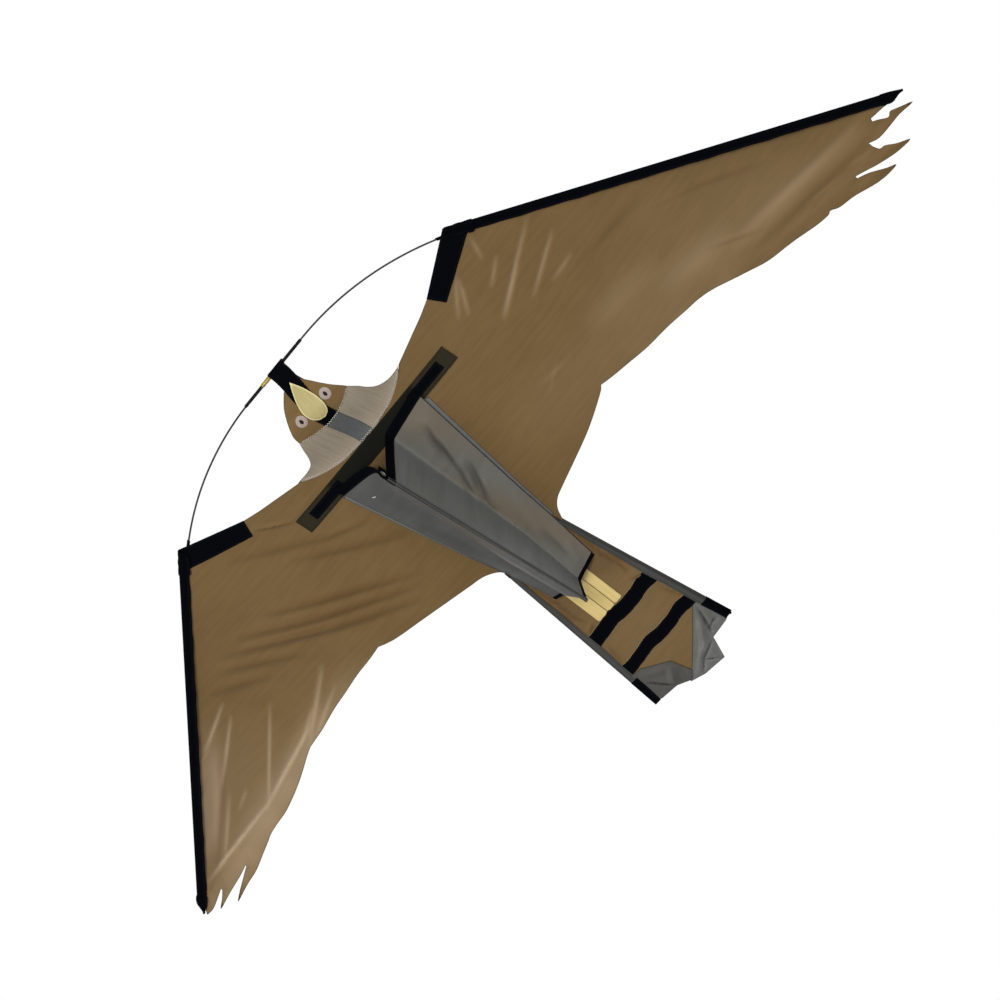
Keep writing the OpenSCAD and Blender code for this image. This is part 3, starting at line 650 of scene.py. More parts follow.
# Sails: each half of the body, with its half of the tail, and the wing beyond the fold line
sail = {
    "pitch": 2.6, "thick": 0.4, "flutter": 1.3, "foldScale": -1.0, "fingerCurl": 5, "tailInset": 3.2,
    "tailSides": (378, 553), "glintWidth": 5,
    "looseFrom": (190, 200), "fingersFrom": (590, 318), "curlFrom": 300,   # reach and aft of the free cloth
    "edgeInset": 6.4,   # from the sleeve's outer edge to the sail's edge inside it
    "brow": [(132, 95.5), (154, 90), (175, 83.5)],
    "left": {   # trailing edge and feather fingers are out from the fold line and aft along it
        "inner": [(212, 304), (202, 310), (160, 326.5), (118, 338.5), (84, 347.5), (68, 352.5), (57, 361),
                  (50, 373)],
        "trailing": [(0, 260.9), (50, 265), (127, 265), (154, 267), (186, 274), (225, 287), (257, 291),
                     (292, 296), (318, 298), (324, 296), (335, 301), (358, 303), (384, 310)],
        "fingers": [
            [(384, 310), (398, 311.5), (414, 309), (404, 304), (386, 295), (371, 290)],
            [(371, 287), (385, 290), (399, 294), (416, 298), (429, 299), (446, 297), (430, 290), (419, 284),
             (412, 283), (408, 276)],
            [(407, 270), (420, 273), (441, 271), (455, 269), (476, 268), (457, 261), (449, 259), (443, 263),
             (433, 257), (427, 254)],
            [(428, 250), (447, 250), (462, 254)]],
        "tailEnd": [(57.7, 558), (28, 582), (0, 603.5)],
        # glint: strength of the painted highlight on narrow bright folds
        "trailCurl": 0, "glint": 0.05,
        # painted light: lighter bands towards the trailing edge
        "pale": [
            (90, 262, 660, 372, 44, 0.24, 1.0), (300, 160, 560, 330, 50, 0.12, 1.0),
        ],
        "folds": [   # bright pulls from the wrist, then the long fold by the trailing edge
            (175, 128, 222, 87, 3.2, -1.8, 0.65), (186, 135, 218, 95, 3.2, -1.8, 0.65),
            (250, 106, 264, 76, 3.2, -1.4, 0.65), (228, 134, 265, 114, 3.2, -1.6, 0.65),
            (206, 166, 322, 115, 3.4, -2.0, 0.65), (204, 170, 270, 140, 3.2, -1.8, 0.65),
            (245, 180, 325, 148, 3.4, -2.0, 0.65), (272, 186, 314, 184, 3.4, -1.4, 0.7),
            (164, 266, 205, 245, 3.0, -0.4, 0.6), (160, 248, 220, 257, 4.0, -0.4, 0.6),
            (310, 196, 415, 206, 9, 1.6, 0.6), (250, 250, 365, 268, 18, -1.2, 0.8),
            (400, 224, 456, 258, 2.6, 0.6, 0.5), (430, 236, 520, 300, 6, 1.4, 0.6),
            (400, 306, 460, 346, 3.2, 1.6, 0.5), (330, 290, 440, 318, 16, -1.3, 0.8),
            (420, 326, 628, 362, 6, -2.2, 1.4), (412, 344, 622, 381, 8, 3.0, 0.9),
            (505, 366, 562, 381, 3, -0.6, 0.5), (565, 378, 604, 391, 3, -0.6, 0.5),
        ],
    },
    "right": {
        "inner": [(212, 304), (203, 308.5), (187, 314.5), (152, 323.5), (118, 332.5), (84, 341.5), (67, 346),
                  (54, 353.5), (47, 362), (45, 373)],
        "trailing": [(0, 260.9), (71, 257), (159, 256.5), (183, 257.5), (227, 267), (259, 271), (282, 273),
                     (304, 272), (318, 272), (329, 274), (348, 277), (370, 280), (384, 281)],
        "fingers": [
            [(384, 281), (396, 281), (416, 282), (432, 282), (416, 277), (397, 272.5), (379, 268)],
            [(379, 267), (403, 268.5), (432, 269), (454, 269), (440, 264), (429, 259)],
            [(428, 257), (441, 259), (457, 261), (474, 260)]],
        "tailEnd": [(60, 567), (48, 575), (24, 592), (19.5, 614), (13, 613), (5, 607.2), (0, 603.5)],
        # glint: strength of the painted highlight on narrow bright folds
        "trailCurl": -4.4, "glint": 0.2,
        # painted light: sheen on the outer wing and its trailing flap
        "pale": [
            (-700, 396, -230, 298, 20, 0.85, 1.2), (-625, 352, -430, 220, 15, 0.6, 0.9),
            (-660, 360, -380, 250, 60, 0.3, 1.0),
        ],
        "folds": [   # slack folds from the wrist to the root, then the creases of the outer wing
            (-182, 97, -139, 131, 2.6, 3.4, 0.6), (-318, 170, -110, 296, 9, 5.0, 0.55),
            (-352, 172, -124, 308, 9, 5.2, 0.55), (-272, 170, -98, 286, 9, 4.2, 0.55),
            (-234, 97, -115, 184, 9, 2.6, 0.6), (-190, 153, -56, 252, 9, 3.4, 0.6),
            (-142, 167, -84, 196, 5, 2.2, 0.6), (-376, 180, -276, 246, 9, 3.6, 0.6),
            (-404, 194, -332, 235, 9, 3.0, 0.6), (-478, 242, -400, 215, 2.8, -1.7, 0.5),
            (-508, 289, -408, 232, 2.8, -1.7, 0.5), (-386, 331, -274, 269, 4, -1.4, 0.5),
            (-392, 323, -334, 298, 3, -1.0, 0.5), (-371, 328, -287, 298, 3, -1.0, 0.5),
            (-592, 336, -462, 238, 9, -2.2, 1.0), (-608, 353, -455, 257, 4, 1.9, 0.5),
            (-600, 359, -505, 299, 3, -1.2, 0.5), (-496, 350, -364, 257, 2.6, -1.6, 0.5),
            (-632, 357, -480, 343, 3.4, -2.6, 0.6), (-500, 347, -352, 311, 3.4, -2.6, 0.6),
            (-522, 324, -486, 311, 2.6, -0.8, 0.5),
        ],
    },
}
# painted light along the middle of the tail, against the shade there
tailPaintedLight = (-1, 380, 1, 640, 60, 0.15, 1.0)
tailPulls = [
    (47, 387, 43, 398, 2.2, 1.6, 0.8), (46, 397, 42, 408, 2.2, 1.6, 0.8), (45, 406, 41, 418, 2.2, 1.6, 0.8),
    (45, 415, 40, 428, 2.2, 1.6, 0.8), (45, 425, 39, 440, 2.2, 1.6, 0.8), (43, 434, 42, 458, 2.2, 1.5, 0.8),
    (46, 438, 56, 487, 2.4, 1.8, 0.8), (46, 450, 41, 476, 2.2, 1.4, 0.8), (34, 483, 54, 491, 2.4, 1.6, 0.8),
    (48, 512, 57, 546, 2.4, 1.0, 0.8),
]


def tailWrinkles(side):  # fine pulls beside the tail's sleeves
    return [(x0 * side, y0, x1 * side, y1, *rest) for x0, y0, x1, y1, *rest in tailPulls]


def sailOutline(side, spec):
    neck = [(x, neckSeam(x)) for x in np.linspace(0, head["neckHalf"], 10)]
    edge = [edgePlace(1, s, sail["edgeInset"], 0)[:2] for s in (12, edgeLen - 15)]
    outer = [wingPlace(1, *p, 0)[:2] for p in throughPoints(spec["trailing"], 5)[1:]]
    fingers = [wingPlace(1, *p, 0)[:2] for finger in spec["fingers"] for p in throughPoints(finger, 3)]
    inner = throughPoints(spec["inner"], 4)
    tailSide = [(spineHalf(y) - sail["tailInset"], y) for y in sail["tailSides"]]
    line = neck + sail["brow"] + [(wristX, wristY + 3)] + edge + fingers[::-1] + outer[::-1]
    line = [*line, *inner, *tailSide, *spec["tailEnd"]]
    return np.array(line, float) * (side, 1)


def leadGap(reach, y):  # aft of the outer leading edge
    out, aft = wingAxes(reach, y)
    return aft * math.cos(edgeAngle) - out * math.sin(edgeAngle)


def keelHalf(y):  # the keel's side seam
    return np.interp(y, (keel["front"], keel["rear"]), (keel["sideFront"], keel["sideRear"]))


def sailLift(side, spec):
    folds = spec["folds"] + tailWrinkles(side)

    def lift(x, y, edge, along):
        reach = np.abs(x)
        offKeel = np.where(y < kite["crotch"] + 6, ease((reach - keelHalf(y) - 6) / 14), 1)
        clear = ease((leadGap(reach, y) - 10) / 16) * offKeel   # the sleeve and the keel's seam stay flat
        (looseX, looseY), (fingerX, fingerY) = sail["looseFrom"], sail["fingersFrom"]
        loose = ease((reach - looseX) / 60) * ease((y - looseY) / 60) * (y > kinkY - 60) * clear
        flutter = sail["flutter"] * loose * np.exp(-edge / 14) * np.sin(along / 9.5)
        curl = spec["trailCurl"] * ease((reach - sail["curlFrom"]) / 60) * loose
        flutter += curl * np.maximum(0, 1 - edge / 22)
        tip = sail["fingerCurl"] * ease((reach - fingerX) / 80) * ease((y - fingerY) / 60) * clear
        creases = sail["foldScale"] * foldHeights(x, y, folds) * ease(edge / 12) * clear
        return sailZ(x, y) + sail["thick"] / 2 + creases + flutter - tip
    return lift


# painted light, painted highlights and painted shade, from the bands and the folds
def foldMarks(side, spec):
    bright = [f for f in spec["folds"] if f[5] < 0]
    narrow = [f for f in bright if f[4] < sail["glintWidth"]]
    light = [*spec["pale"], tailPaintedLight]
    return {"pale": lambda x, y: np.clip(foldHeights(x, y, light) - 0.22 * foldHeights(x, y, bright), 0, 1),
            "glint": lambda x, y: np.clip(-spec["glint"] * foldHeights(x, y, narrow), 0, 0.6),
            "creaseShade": lambda x, y: np.maximum(creaseShadeShare(x, y, spec["folds"], 0.12),
                                              creaseShadeShare(x, y, tailWrinkles(side), 0.45))}


foldOut = np.array([math.cos(foldYaw), math.sin(foldYaw), 0])
foldMiddle = np.array([(wristX + kinkX) / 2, (wristY + kinkY) / 2, wristZ / 2])
foldReach = (-14, 10)   # a sheet turns over this stretch across the fold line


def foldEnds(side):
    return [row((foldMiddle + foldOut * d) * (side, 1, 1)) for d in foldReach]


for sideName, side in sides.items():
    cutSheet(sideName + "Sail", sailOutline(side, sail[sideName]), sailLift(side, sail[sideName]), {
        "pitch": sail["pitch"], "thick": sail["thick"], "finish": "brownSailcloth",
        "replaces": [sideName + "_wing_sail"] + (["body_sail"] if side > 0 else []), "held": "stretched",
        "restsOn": [sideName + "_wing_spar", "left_spine_rod", "right_spine_rod"],
        "marks": foldMarks(side, sail[sideName]),
        "blend": ("body", sideName + "_wing", *foldEnds(side))})
bothSails = ["leftSail", "rightSail"]
print("sails cut")

# Leading edges: a tape folded round each spar, a cuff at the wrist and a cap at the tip
edgeTape = {"width": 12.2, "spar": 3.2, "round": 2.75, "flat": 0.72, "thick": 0.55, "cuff": (-1, 32),
            "cap": 26, "capPoint": 17, "capEnds": {1: 1.2, -1: 8.6}}


def tapeProfile(wider=0, rounder=0, thicker=0):  # from one hem round the spar to the other
    width, radius, flat = edgeTape["width"] + wider, edgeTape["round"] + rounder, edgeTape["flat"] + thicker
    arc = np.radians(np.linspace(-52, -308, 13))
    bend = np.column_stack([edgeTape["spar"] + radius * np.cos(arc), radius * np.sin(arc)])
    hem = [(width, -flat), (width * 0.86, -flat), (mix(width, bend[0, 0], 0.55), -flat * 1.25)]
    return np.concatenate([hem, bend, [(w, -h) for w, h in hem[::-1]]])


def tapeShape(side, along, off, rise):
    hem = ease((off - 5) / 5)
    return (off + hem * 0.45 * np.sin(along / 23 + side) * np.sin(along / 7.7),
            rise * (1 + hem * 0.22 * np.sin(along / 2.7) ** 2) + hem * 0.12 * np.sin(along / 5.1))


def cuffShape(side, along, off, rise):
    step = 1 + 0.05 * np.sin(along / 1.9) + 0.07 * ease((along - 26) / 5)
    corner = np.clip((along + 1.5) / 9, 0.12, 1)   # cut back where the wing folds
    off = np.where(off > 4, 4 + (off - 4) * corner, off)
    spar = edgeTape["spar"]
    return (off - spar) * step + spar + 0.5 * ease((14 - along) / 8), rise * step


def capShape(side, along, off, rise):
    closing = ease((along - (edgeLen - edgeTape["capPoint"])) / edgeTape["capPoint"])
    point = edgeTape["capEnds"][side]
    swell = 0.7 * np.exp(-(((along - edgeLen + 21) / 4) ** 2)) * (side < 0)
    return (off - point) * (1 - 0.8 * closing) + point - swell * (off < 2), rise * (1 - 0.5 * closing)


edgePieces = {   # stations along the edge, profile, shape
    "WingSleeve": (np.arange(edgeTape["cuff"][1] - 4, edgeLen - 16, 3.0), tapeProfile(), tapeShape),
    "WingCuff": (np.linspace(*edgeTape["cuff"], 22), tapeProfile(1.2, 0.8, 0.7), cuffShape),
    "TipCap": (np.linspace(edgeLen - edgeTape["cap"], edgeLen + 0.6, 24), tapeProfile(0.6, 0.7, 0.65),
               capShape),
}
for sideName, side in sides.items():
    for label, (stations, profile, shape) in edgePieces.items():
        along, off, rise = np.broadcast_arrays(stations[:, None], profile[None, :, 0], profile[None, :, 1])
        stripSheet(sideName + label, edgePlace(side, along, *shape(side, along, off, rise)), {
            "finish": "blackTape", "thick": edgeTape["thick"], "held": "folded", "body": sideName + "_wing",
            "restsOn": [sideName + "_wing_spar"]})
print("leading edges folded")

# Wrist patches on the belly, and the pockets on the back in which the bow ends
wrist = {"patch": [(175.5, 82.8), (254, 46), (268, 71), (185.5, 103.5)], "thick": 0.8, "bowEnd": 250,
         "pocketLen": 12, "bend": 390, "straight": 50}
layerGap, layerStep = 0.05, 0.65


def layerDrop(layer, thick):  # from the face that cloth is sewn on to the cloth's middle
    return layerGap + (layer - 1) * layerStep + thick / 2


def onBelly(layer, thick):
    def lift(x, y, edge, along):
        return sailZ(x, y) - layerDrop(layer, thick) + 0.12 * np.exp(-edge / 2) * np.sin(along / 2.4)
    return lift


def bowPlace(x):  # the bow's middle line
    past = np.maximum(0, np.abs(x) - wrist["straight"])
    y = head["bowFront"] + wrist["bend"] - np.sqrt(wrist["bend"] ** 2 - past ** 2)
    return np.stack([x, y, np.full_like(x, head["bowZ"])], -1)


for sideName, side in sides.items():
    xs = np.linspace(wrist["bowEnd"] - wrist["pocketLen"], wrist["bowEnd"] + 2, 14) * side
    turn = np.radians(np.linspace(-150, -390, 15))
    middle = bowPlace(xs)
    swell = 1.8 - 0.4 * ease((np.abs(xs) - wrist["bowEnd"] + 1) / 3)
    ring = np.stack([0 * turn, np.cos(turn), -np.sin(turn)], -1)
    pocket = middle[:, None, :] + swell[:, None, None] * ring[None]
    stripSheet(sideName + "WristPocket", pocket, {"finish": "blackTape", "thick": 0.6})
    cutSheet(sideName + "WristPatch", np.array(wrist["patch"]) * (side, 1), onBelly(1, wrist["thick"]), {
        "finish": "blackTape", "thick": wrist["thick"], "held": "laid", "pitch": 2.4,
        "restsOn": [sideName + "Sail"], "with": [sideName + "WristPocket"],
        "blend": ("body", sideName + "_wing", *foldEnds(side))})
print("wrists sewn")


# Bow: the rods stay as they are, the ferrule and the stops get their turned ends
bow = {"rodR": 1.15, "rollHalf": 1.1, "rollDepth": 0.35}
stop = {"radius": 1.95, "finish": "stopTube", "slot": "stop_tube"}
tubes = {
    "bowFerrule": {"span": (-27, 12), "radius": 2.6, "rings": (-15, 15), "finish": "brass",
                   "slot": "ferrule_brass"},
    "leftBowStop": {**stop, "span": (12, 46), "rings": (9,)},
    "rightBowStop": {**stop, "span": (-60, -27.2), "rings": (-11,)},
}
rods = ("left_bow", "right_bow", "left_wing_spar", "right_wing_spar", "left_spine_rod", "right_spine_rod")


def turnedTube(name, tube):
    span, radius, bore = tube["span"], tube["radius"], bow["rodR"]
    length = span[1] - span[0]
    bpy.ops.object.select_all(action="DESELECT")
    bpy.ops.mesh.primitive_cylinder_add(vertices=40, radius=radius / 1000, depth=length / 1000,
                                        end_fill_type="NGON")
    piece = bpy.context.active_object
    piece.name = name
    bpy.ops.object.mode_set(mode="EDIT")
    bpy.ops.mesh.select_mode(type="FACE")
    for end in (1, -1):  # bore each end
        bpy.ops.mesh.select_all(action="DESELECT")
        bpy.ops.object.mode_set(mode="OBJECT")
        for face in piece.data.polygons:
            face.select = face.normal.z * end > 0.9
        bpy.ops.object.mode_set(mode="EDIT")
        bpy.ops.mesh.inset(thickness=(radius - bore) / 1000)
        bpy.ops.mesh.extrude_region_move(TRANSFORM_OT_translate={"value": (0, 0, -end * length * 0.00025)})
    for place in tube["rings"]:  # rings rolled into the wall
        for offset in (-bow["rollHalf"], 0, bow["rollHalf"]):
            bpy.ops.mesh.select_all(action="SELECT")
            bpy.ops.mesh.bisect(plane_co=(0, 0, (place + offset) / 1000), plane_no=(0, 0, 1))
        bpy.ops.object.mode_set(mode="OBJECT")
        for vert in piece.data.vertices:
            if abs(vert.co.z * 1000 - place) < 0.3 and vert.co.xy.length * 1000 > bore + 0.2:
                vert.co.xy *= 1 - bow["rollDepth"] / radius
        bpy.ops.object.mode_set(mode="EDIT")
    bpy.ops.object.mode_set(mode="OBJECT")
    applyModifier(piece, "BEVEL", {"width": 0.00035, "segments": 2, "limit_method": "ANGLE"})
    bpy.ops.object.shade_smooth_by_angle(angle=math.radians(35))
    middle = (sum(span) / 2, head["bowFront"], head["bowZ"])
    piece.data.transform(Matrix.Translation(row(middle)) @ Matrix.Rotation(math.pi / 2, 4, "Y"))
    piece.data.materials.append(finishes[tube["finish"]].material)
    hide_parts(nodeName(name))
    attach(piece, "body")


for name, tube in tubes.items():
    turnedTube(name, tube)
for name in rods:
    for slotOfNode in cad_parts[name].material_slots:
        slotOfNode.material = finishes["rod"].material
print("bow fitted")

# Head: nose strap and face band in one tape, hood, beak, eyes, neck and throat band
nose = {"thick": 0.8, "half": 13.0, "top": 16, "wrap": 3.35, "pocketHalf": 4}


def nosePath():
    middle = (head["bowFront"], head["bowZ"])
    arc = np.radians(np.linspace(95, 265, 16))
    turn = [(middle[0] + nose["wrap"] * math.cos(a), middle[1] + nose["wrap"] * math.sin(a)) for a in arc]
    top = [(y, middle[1] + nose["wrap"] + 0.1) for y in np.linspace(nose["top"], 4, 6)]
    under = [(y, float(headZ(0.0, y)) - 0.75) for y in np.linspace(4.5, head["hoodAft"] - 0.9, 34)]
    return np.array(top + turn + under)


path = nosePath()
acrossBand = np.linspace(-1, 1, 9)
half = mix(nose["half"], head["bandHalf"] - 0.4, np.linspace(0, 1, len(path)))
half = half - (nose["half"] - nose["pocketHalf"]) * ease((path[:, 0] - 2) / 3) * (path[:, 1] > head["bowZ"])
band = np.stack(np.broadcast_arrays(half[:, None] * acrossBand, path[:, :1], path[:, 1:]), -1).copy()
band[..., 2] += 0.25 * (acrossBand ** 2 - 0.5)
stripSheet("noseStrap", band, {"finish": "blackTape", "thick": nose["thick"], "held": "folded",
                               "replaces": ["nose_strap", "face_band"], "restsOn": ["bowFerrule"]})


def onHead(layer, thick, puff=0.0):
    def lift(x, y, edge, along):
        soft = 0.5 * np.sin(x / 9 + 1) * np.sin(y / 13) * ease(np.abs(x) / 20)
        stack = -layerDrop(layer, thick) if layer else 0.2
        stack = stack - puff * ease(edge / 4) + 0.1 * np.exp(-edge / 2) * np.sin(along / 2.2)
        return headZ(x, y) + soft + stack
    return lift


headSides = {   # outer edges of the hood and of the neck, from the front
    "left": {"hood": [(11, 24), (20.2, 34.2), (31.6, 48.6), (41, 62), (44.5, 68.5)],
             "neck": [(44.5, 68.5), (50.6, 80), (53.5, 90), (57.5, 98), (64, 103.5), (75, 106.8),
                      (90, 106.5)]},
    "right": {"hood": [(12, 21.5), (17, 24.5), (27.5, 33), (36, 44.5), (43.5, 58), (46, 68.5)],
              "neck": [(46, 68.5), (53, 80.5), (60, 92), (68, 100), (79, 103), (97, 103.5)]},
}
hoodOutline, neckOutline = [], []
for sideName, side in sides.items():
    hoodLine = throughPoints(headSides[sideName]["hood"], 4)
    neckLine = throughPoints(headSides[sideName]["neck"], 4)
    hoodRear = [(x, hoodSeam(x) + head["hoodLap"]) for x in np.linspace(hoodLine[-1][0], 0, 10)]
    neckFront = [(x, hoodSeam(x)) for x in np.linspace(0, neckLine[0][0], 10)]
    neckRear = [(x, neckSeam(x) + head["neckLap"]) for x in np.linspace(neckLine[-1][0], 0, 14)]
    hoodHalfLine = np.array([*hoodLine, *hoodRear[1:]]) * (side, 1)
    neckHalfLine = np.array([*neckFront, *neckLine[1:], *neckRear[1:]]) * (side, 1)
    hoodOutline += [*hoodHalfLine] if side > 0 else [*hoodHalfLine[-2::-1]]
    neckOutline += [*neckHalfLine] if side > 0 else [*neckHalfLine[-2:0:-1]]
onBody = {"held": "stretched", "pitch": 2.2, "thick": 0.4}
cutSheet("hoodPanel", hoodOutline, onHead(0, 0.4), {
    **onBody, "finish": "brownSailcloth", "replaces": ["hood"], "restsOn": ["noseStrap"]})
cutSheet("neckPanel", neckOutline, onHead(0, 0.4), {
    **onBody, "finish": "taupeCloth", "restsOn": ["hoodPanel"]})

beak = {"front": 20, "length": 52, "half": 14}
beakSide = []
for f in np.linspace(0, 1, 26):
    share = math.sin(math.pi / 2 * f / 0.65) if f < 0.65 else math.sqrt(max(0, 1 - ((f - 0.65) / 0.35) ** 2))
    beakSide.append((beak["half"] * share, beak["front"] + beak["length"] * f))
cutSheet("beakPatch", beakSide + [(-x, y) for x, y in beakSide[-2:0:-1]], onHead(2.4, 0.6, 0.9), {
    "finish": "beakCloth", "thick": 0.6, "pitch": 1.6, "held": "laid", "replaces": ["beak"],
    "restsOn": ["noseStrap"]})

eyes = {"gap": 45, "aft": 54.7, "ring": 7.3, "pupil": (2.1, 2.95)}


def oval(x, y, rx, ry, count):
    turns = np.linspace(0, 2 * math.pi, count, endpoint=False)
    return [(x + rx * math.cos(a), y + ry * math.sin(a)) for a in turns]


for sideName, side in sides.items():
    x = side * eyes["gap"] / 2
    cutSheet(sideName + "Pupil", oval(x, eyes["aft"], *eyes["pupil"], 28), onHead(1.9, 0.5, 0.3), {
        "finish": "blackPrint", "thick": 0.5, "pitch": 0.8, "replaces": ["pupils"]})
    ring = oval(x, eyes["aft"], eyes["ring"], eyes["ring"], 40)
    cutSheet(sideName + "EyeRing", ring, onHead(1, 0.6, 0.35), {
        "finish": "eyeRingCloth", "thick": 0.6, "pitch": 1.1, "held": "laid", "replaces": ["eye_rings"],
        "restsOn": ["hoodPanel"], "with": [sideName + "Pupil"]})

throat = {"half": 10.9, "front": 81.6, "rear": 130, "thick": 0.7}
throatLine = rectangle(-throat["half"], throat["half"], throat["front"], throat["rear"])
cutSheet("throatBand", throatLine, onHead(1, throat["thick"]), {
    "finish": "greyWeave", "thick": throat["thick"], "pitch": 2.2, "held": "laid", "restsOn": ["neckPanel"]})

seamStitches = {   # half width, points, seam, gap to it, step, swing, then half width and drop at its middle
    "hoodStitch": (43, 60, hoodSeam, 0.3, 1.5, 2.0, (12.2, 1.35)),
    "neckStitch": (92, 120, neckSeam, -1.6, 1.6, 2.2, (11.2, 1.1)),
}
for name, (half, count, seam, gap, step, swing, (bandHalf, bandDrop)) in seamStitches.items():
    xs = np.linspace(-half, half, count)
    x, y = zigzag(np.column_stack([xs, seam(xs) + gap]), step, swing)
    drop = np.where(np.abs(x) < bandHalf, bandDrop, 0.45)
    thread(name, np.column_stack([x, y, headZ(x, y) - drop]), 0.3, "whiteThread")
print("head sewn")

# Chest strap with the narrower tape sewn along it
chest = {"half": 139.5, "front": 131, "rear": 154.5, "tapeStart": 66, "tapeHalf": 121, "tapeWidth": 12.4,
         "thick": 0.9}
strapLine = rectangle(-chest["half"], chest["half"], chest["front"], chest["rear"])
cutSheet("chestStrap", strapLine, onBelly(1, chest["thick"]), {
    "finish": "oliveStrap", "thick": chest["thick"], "held": "laid", "pitch": 2.6,
    "restsOn": bothSails})
middle, tapeSide = (chest["front"] + chest["rear"]) / 2, chest["tapeWidth"] / 2
tapeLine = rectangle(chest["tapeStart"], chest["tapeHalf"], middle - tapeSide, middle + tapeSide)
for sideName, side in sides.items():
    cutSheet(sideName + "StrapTape", tapeLine * (side, 1), onBelly(2.5, 0.7), {
        "finish": "blackTape", "thick": 0.7, "held": "laid", "pitch": 2.4, "replaces": [],
        "restsOn": ["chestStrap"]})
print("chest strap sewn")

# Keel: each side runs along the sail and turns down to the ridge
keelRun = keel["rear"] - keel["front"]


def keelPoint(sideName, u, v):  # u from the mouth to the rear, v from the side seam to the ridge
    side, spec = sides[sideName], keel[sideName]
    sx, sy = mix(keel["sideFront"], keel["sideRear"], u), mix(keel["front"], keel["rear"], u)
    seam = np.stack([sx, sy, sailZ(sx, sy) - mix(*keel["seamDrop"], ease(u / 0.06))], -1)
    line = np.array(spec["bend"])
    at = (line[:, 1] - line[0, 1]) / (line[-1, 1] - line[0, 1])
    bend = np.stack([np.interp(u, at, line[:, k]) for k in range(3)], -1)
    ridge = mix(np.array(keel["apex"]), np.array(keel["end"]), u[..., None])
    g = softPlus(2 * v - 1, spec["soft"])[..., None]
    place = seam + (bend - seam) * (2 * v[..., None] - g) + (ridge - bend) * g
    free = ease(u / 0.1) * ease((1 - u) / 0.06) * ease(v / 0.1) * ease((1 - v) / 0.1)
    place[..., 0] *= side
    place[..., 2] -= spec["slack"][0] * np.sin(np.pi * np.clip(2 * v, 0, 1)) * free
    place[..., 0] += side * spec["slack"][1] * np.sin(np.pi * np.clip(2 * v - 1, 0, 1)) * free
    flat = ease((0.55 - v) / 0.1)
    place[..., 2] += foldHeights(place[..., 0], place[..., 1], spec["folds"]) * free * flat
    return place


def keelNormal(sideName, u, v):  # away from the inside of the keel
    du = keelPoint(sideName, u + 0.004, v) - keelPoint(sideName, u - 0.004, v)
    dv = keelPoint(sideName, u, v + 0.004) - keelPoint(sideName, u, v - 0.004)
    n = np.cross(dv, du) * sides[sideName]
    n = n / np.linalg.norm(n, axis=-1, keepdims=True)
    return np.where(n[..., 2:] > 0.3, -n, n)


def keelBinding(sideName, atMouth, width, offset):  # a tape folded over an edge of a side panel
    v = np.linspace(0, 1, 64)
    lip = np.interp(v, (0, 0.5, 0.75, 1), keel["lipAhead"][sideName])
    ahead = lip if atMouth else np.full_like(v, 0.3)
    shares = np.array([1, 0.55, 0.1, 0, 0, 0.1, 0.55, 1])
    sign = np.array([1, 1.15, 1, 0.45, -0.45, -1, -1.05, -1]) * offset
    place = []
    for share, off in zip(shares, sign):
        depth = (width * share - ahead) / keelRun
        inner = np.maximum(depth, 0) if atMouth else 1 - np.maximum(depth, 0)
        edge = keelPoint(sideName, inner, v) + keelNormal(sideName, np.clip(inner, 0.004, 0.996), v) * off
        run = keelPoint(sideName, np.full_like(v, 0.01), v) - keelPoint(sideName, np.zeros_like(v), v)
        place.append(edge + run * (np.minimum(depth, 0) / 0.01)[:, None] * (1 if atMouth else -1))
    return np.stack(place, 1)


# The ridge's tape, and the tow tab at its front end
ridge = mix(np.array(keel["apex"]), np.array(keel["end"]), np.linspace(0.0, 1, 80)[:, None]) * (0, 1, 1)
lips = np.array([(2.0, 2.6), (1.1, 0.8), (0.8, -0.4), (0, -0.8), (-0.8, -0.4), (-1.1, 0.8), (-2.0, 2.6)])
ridgeTape = ridge[:, None, :] + np.stack([lips[:, 0], 0 * lips[:, 0], lips[:, 1]], -1)[None]
stripSheet("ridgeTape", ridgeTape, {"finish": "shadedGreyCloth", "thick": 0.35})
thread("ridgeThread", ridge + (1.2, 0, 0.3), 0.5, "darkThread")
tow = {"outline": [(-6, 13), (3.1, 13), (6.6, -5), (1, -8), (-3, -6.5), (-5.5, -3)], "thick": 1.9,
       "bore": 1.75, "flange": 3.9, "heights": (1.55, 1.4, 1.05)}


def tabLift(x, y, edge, along):
    return np.column_stack([np.zeros_like(x), x + kite["tow"][1], y + kite["tow"][2]])


cutSheet("towTab", tow["outline"], tabLift, {"finish": "blackTape", "thick": tow["thick"], "pitch": 1.5})

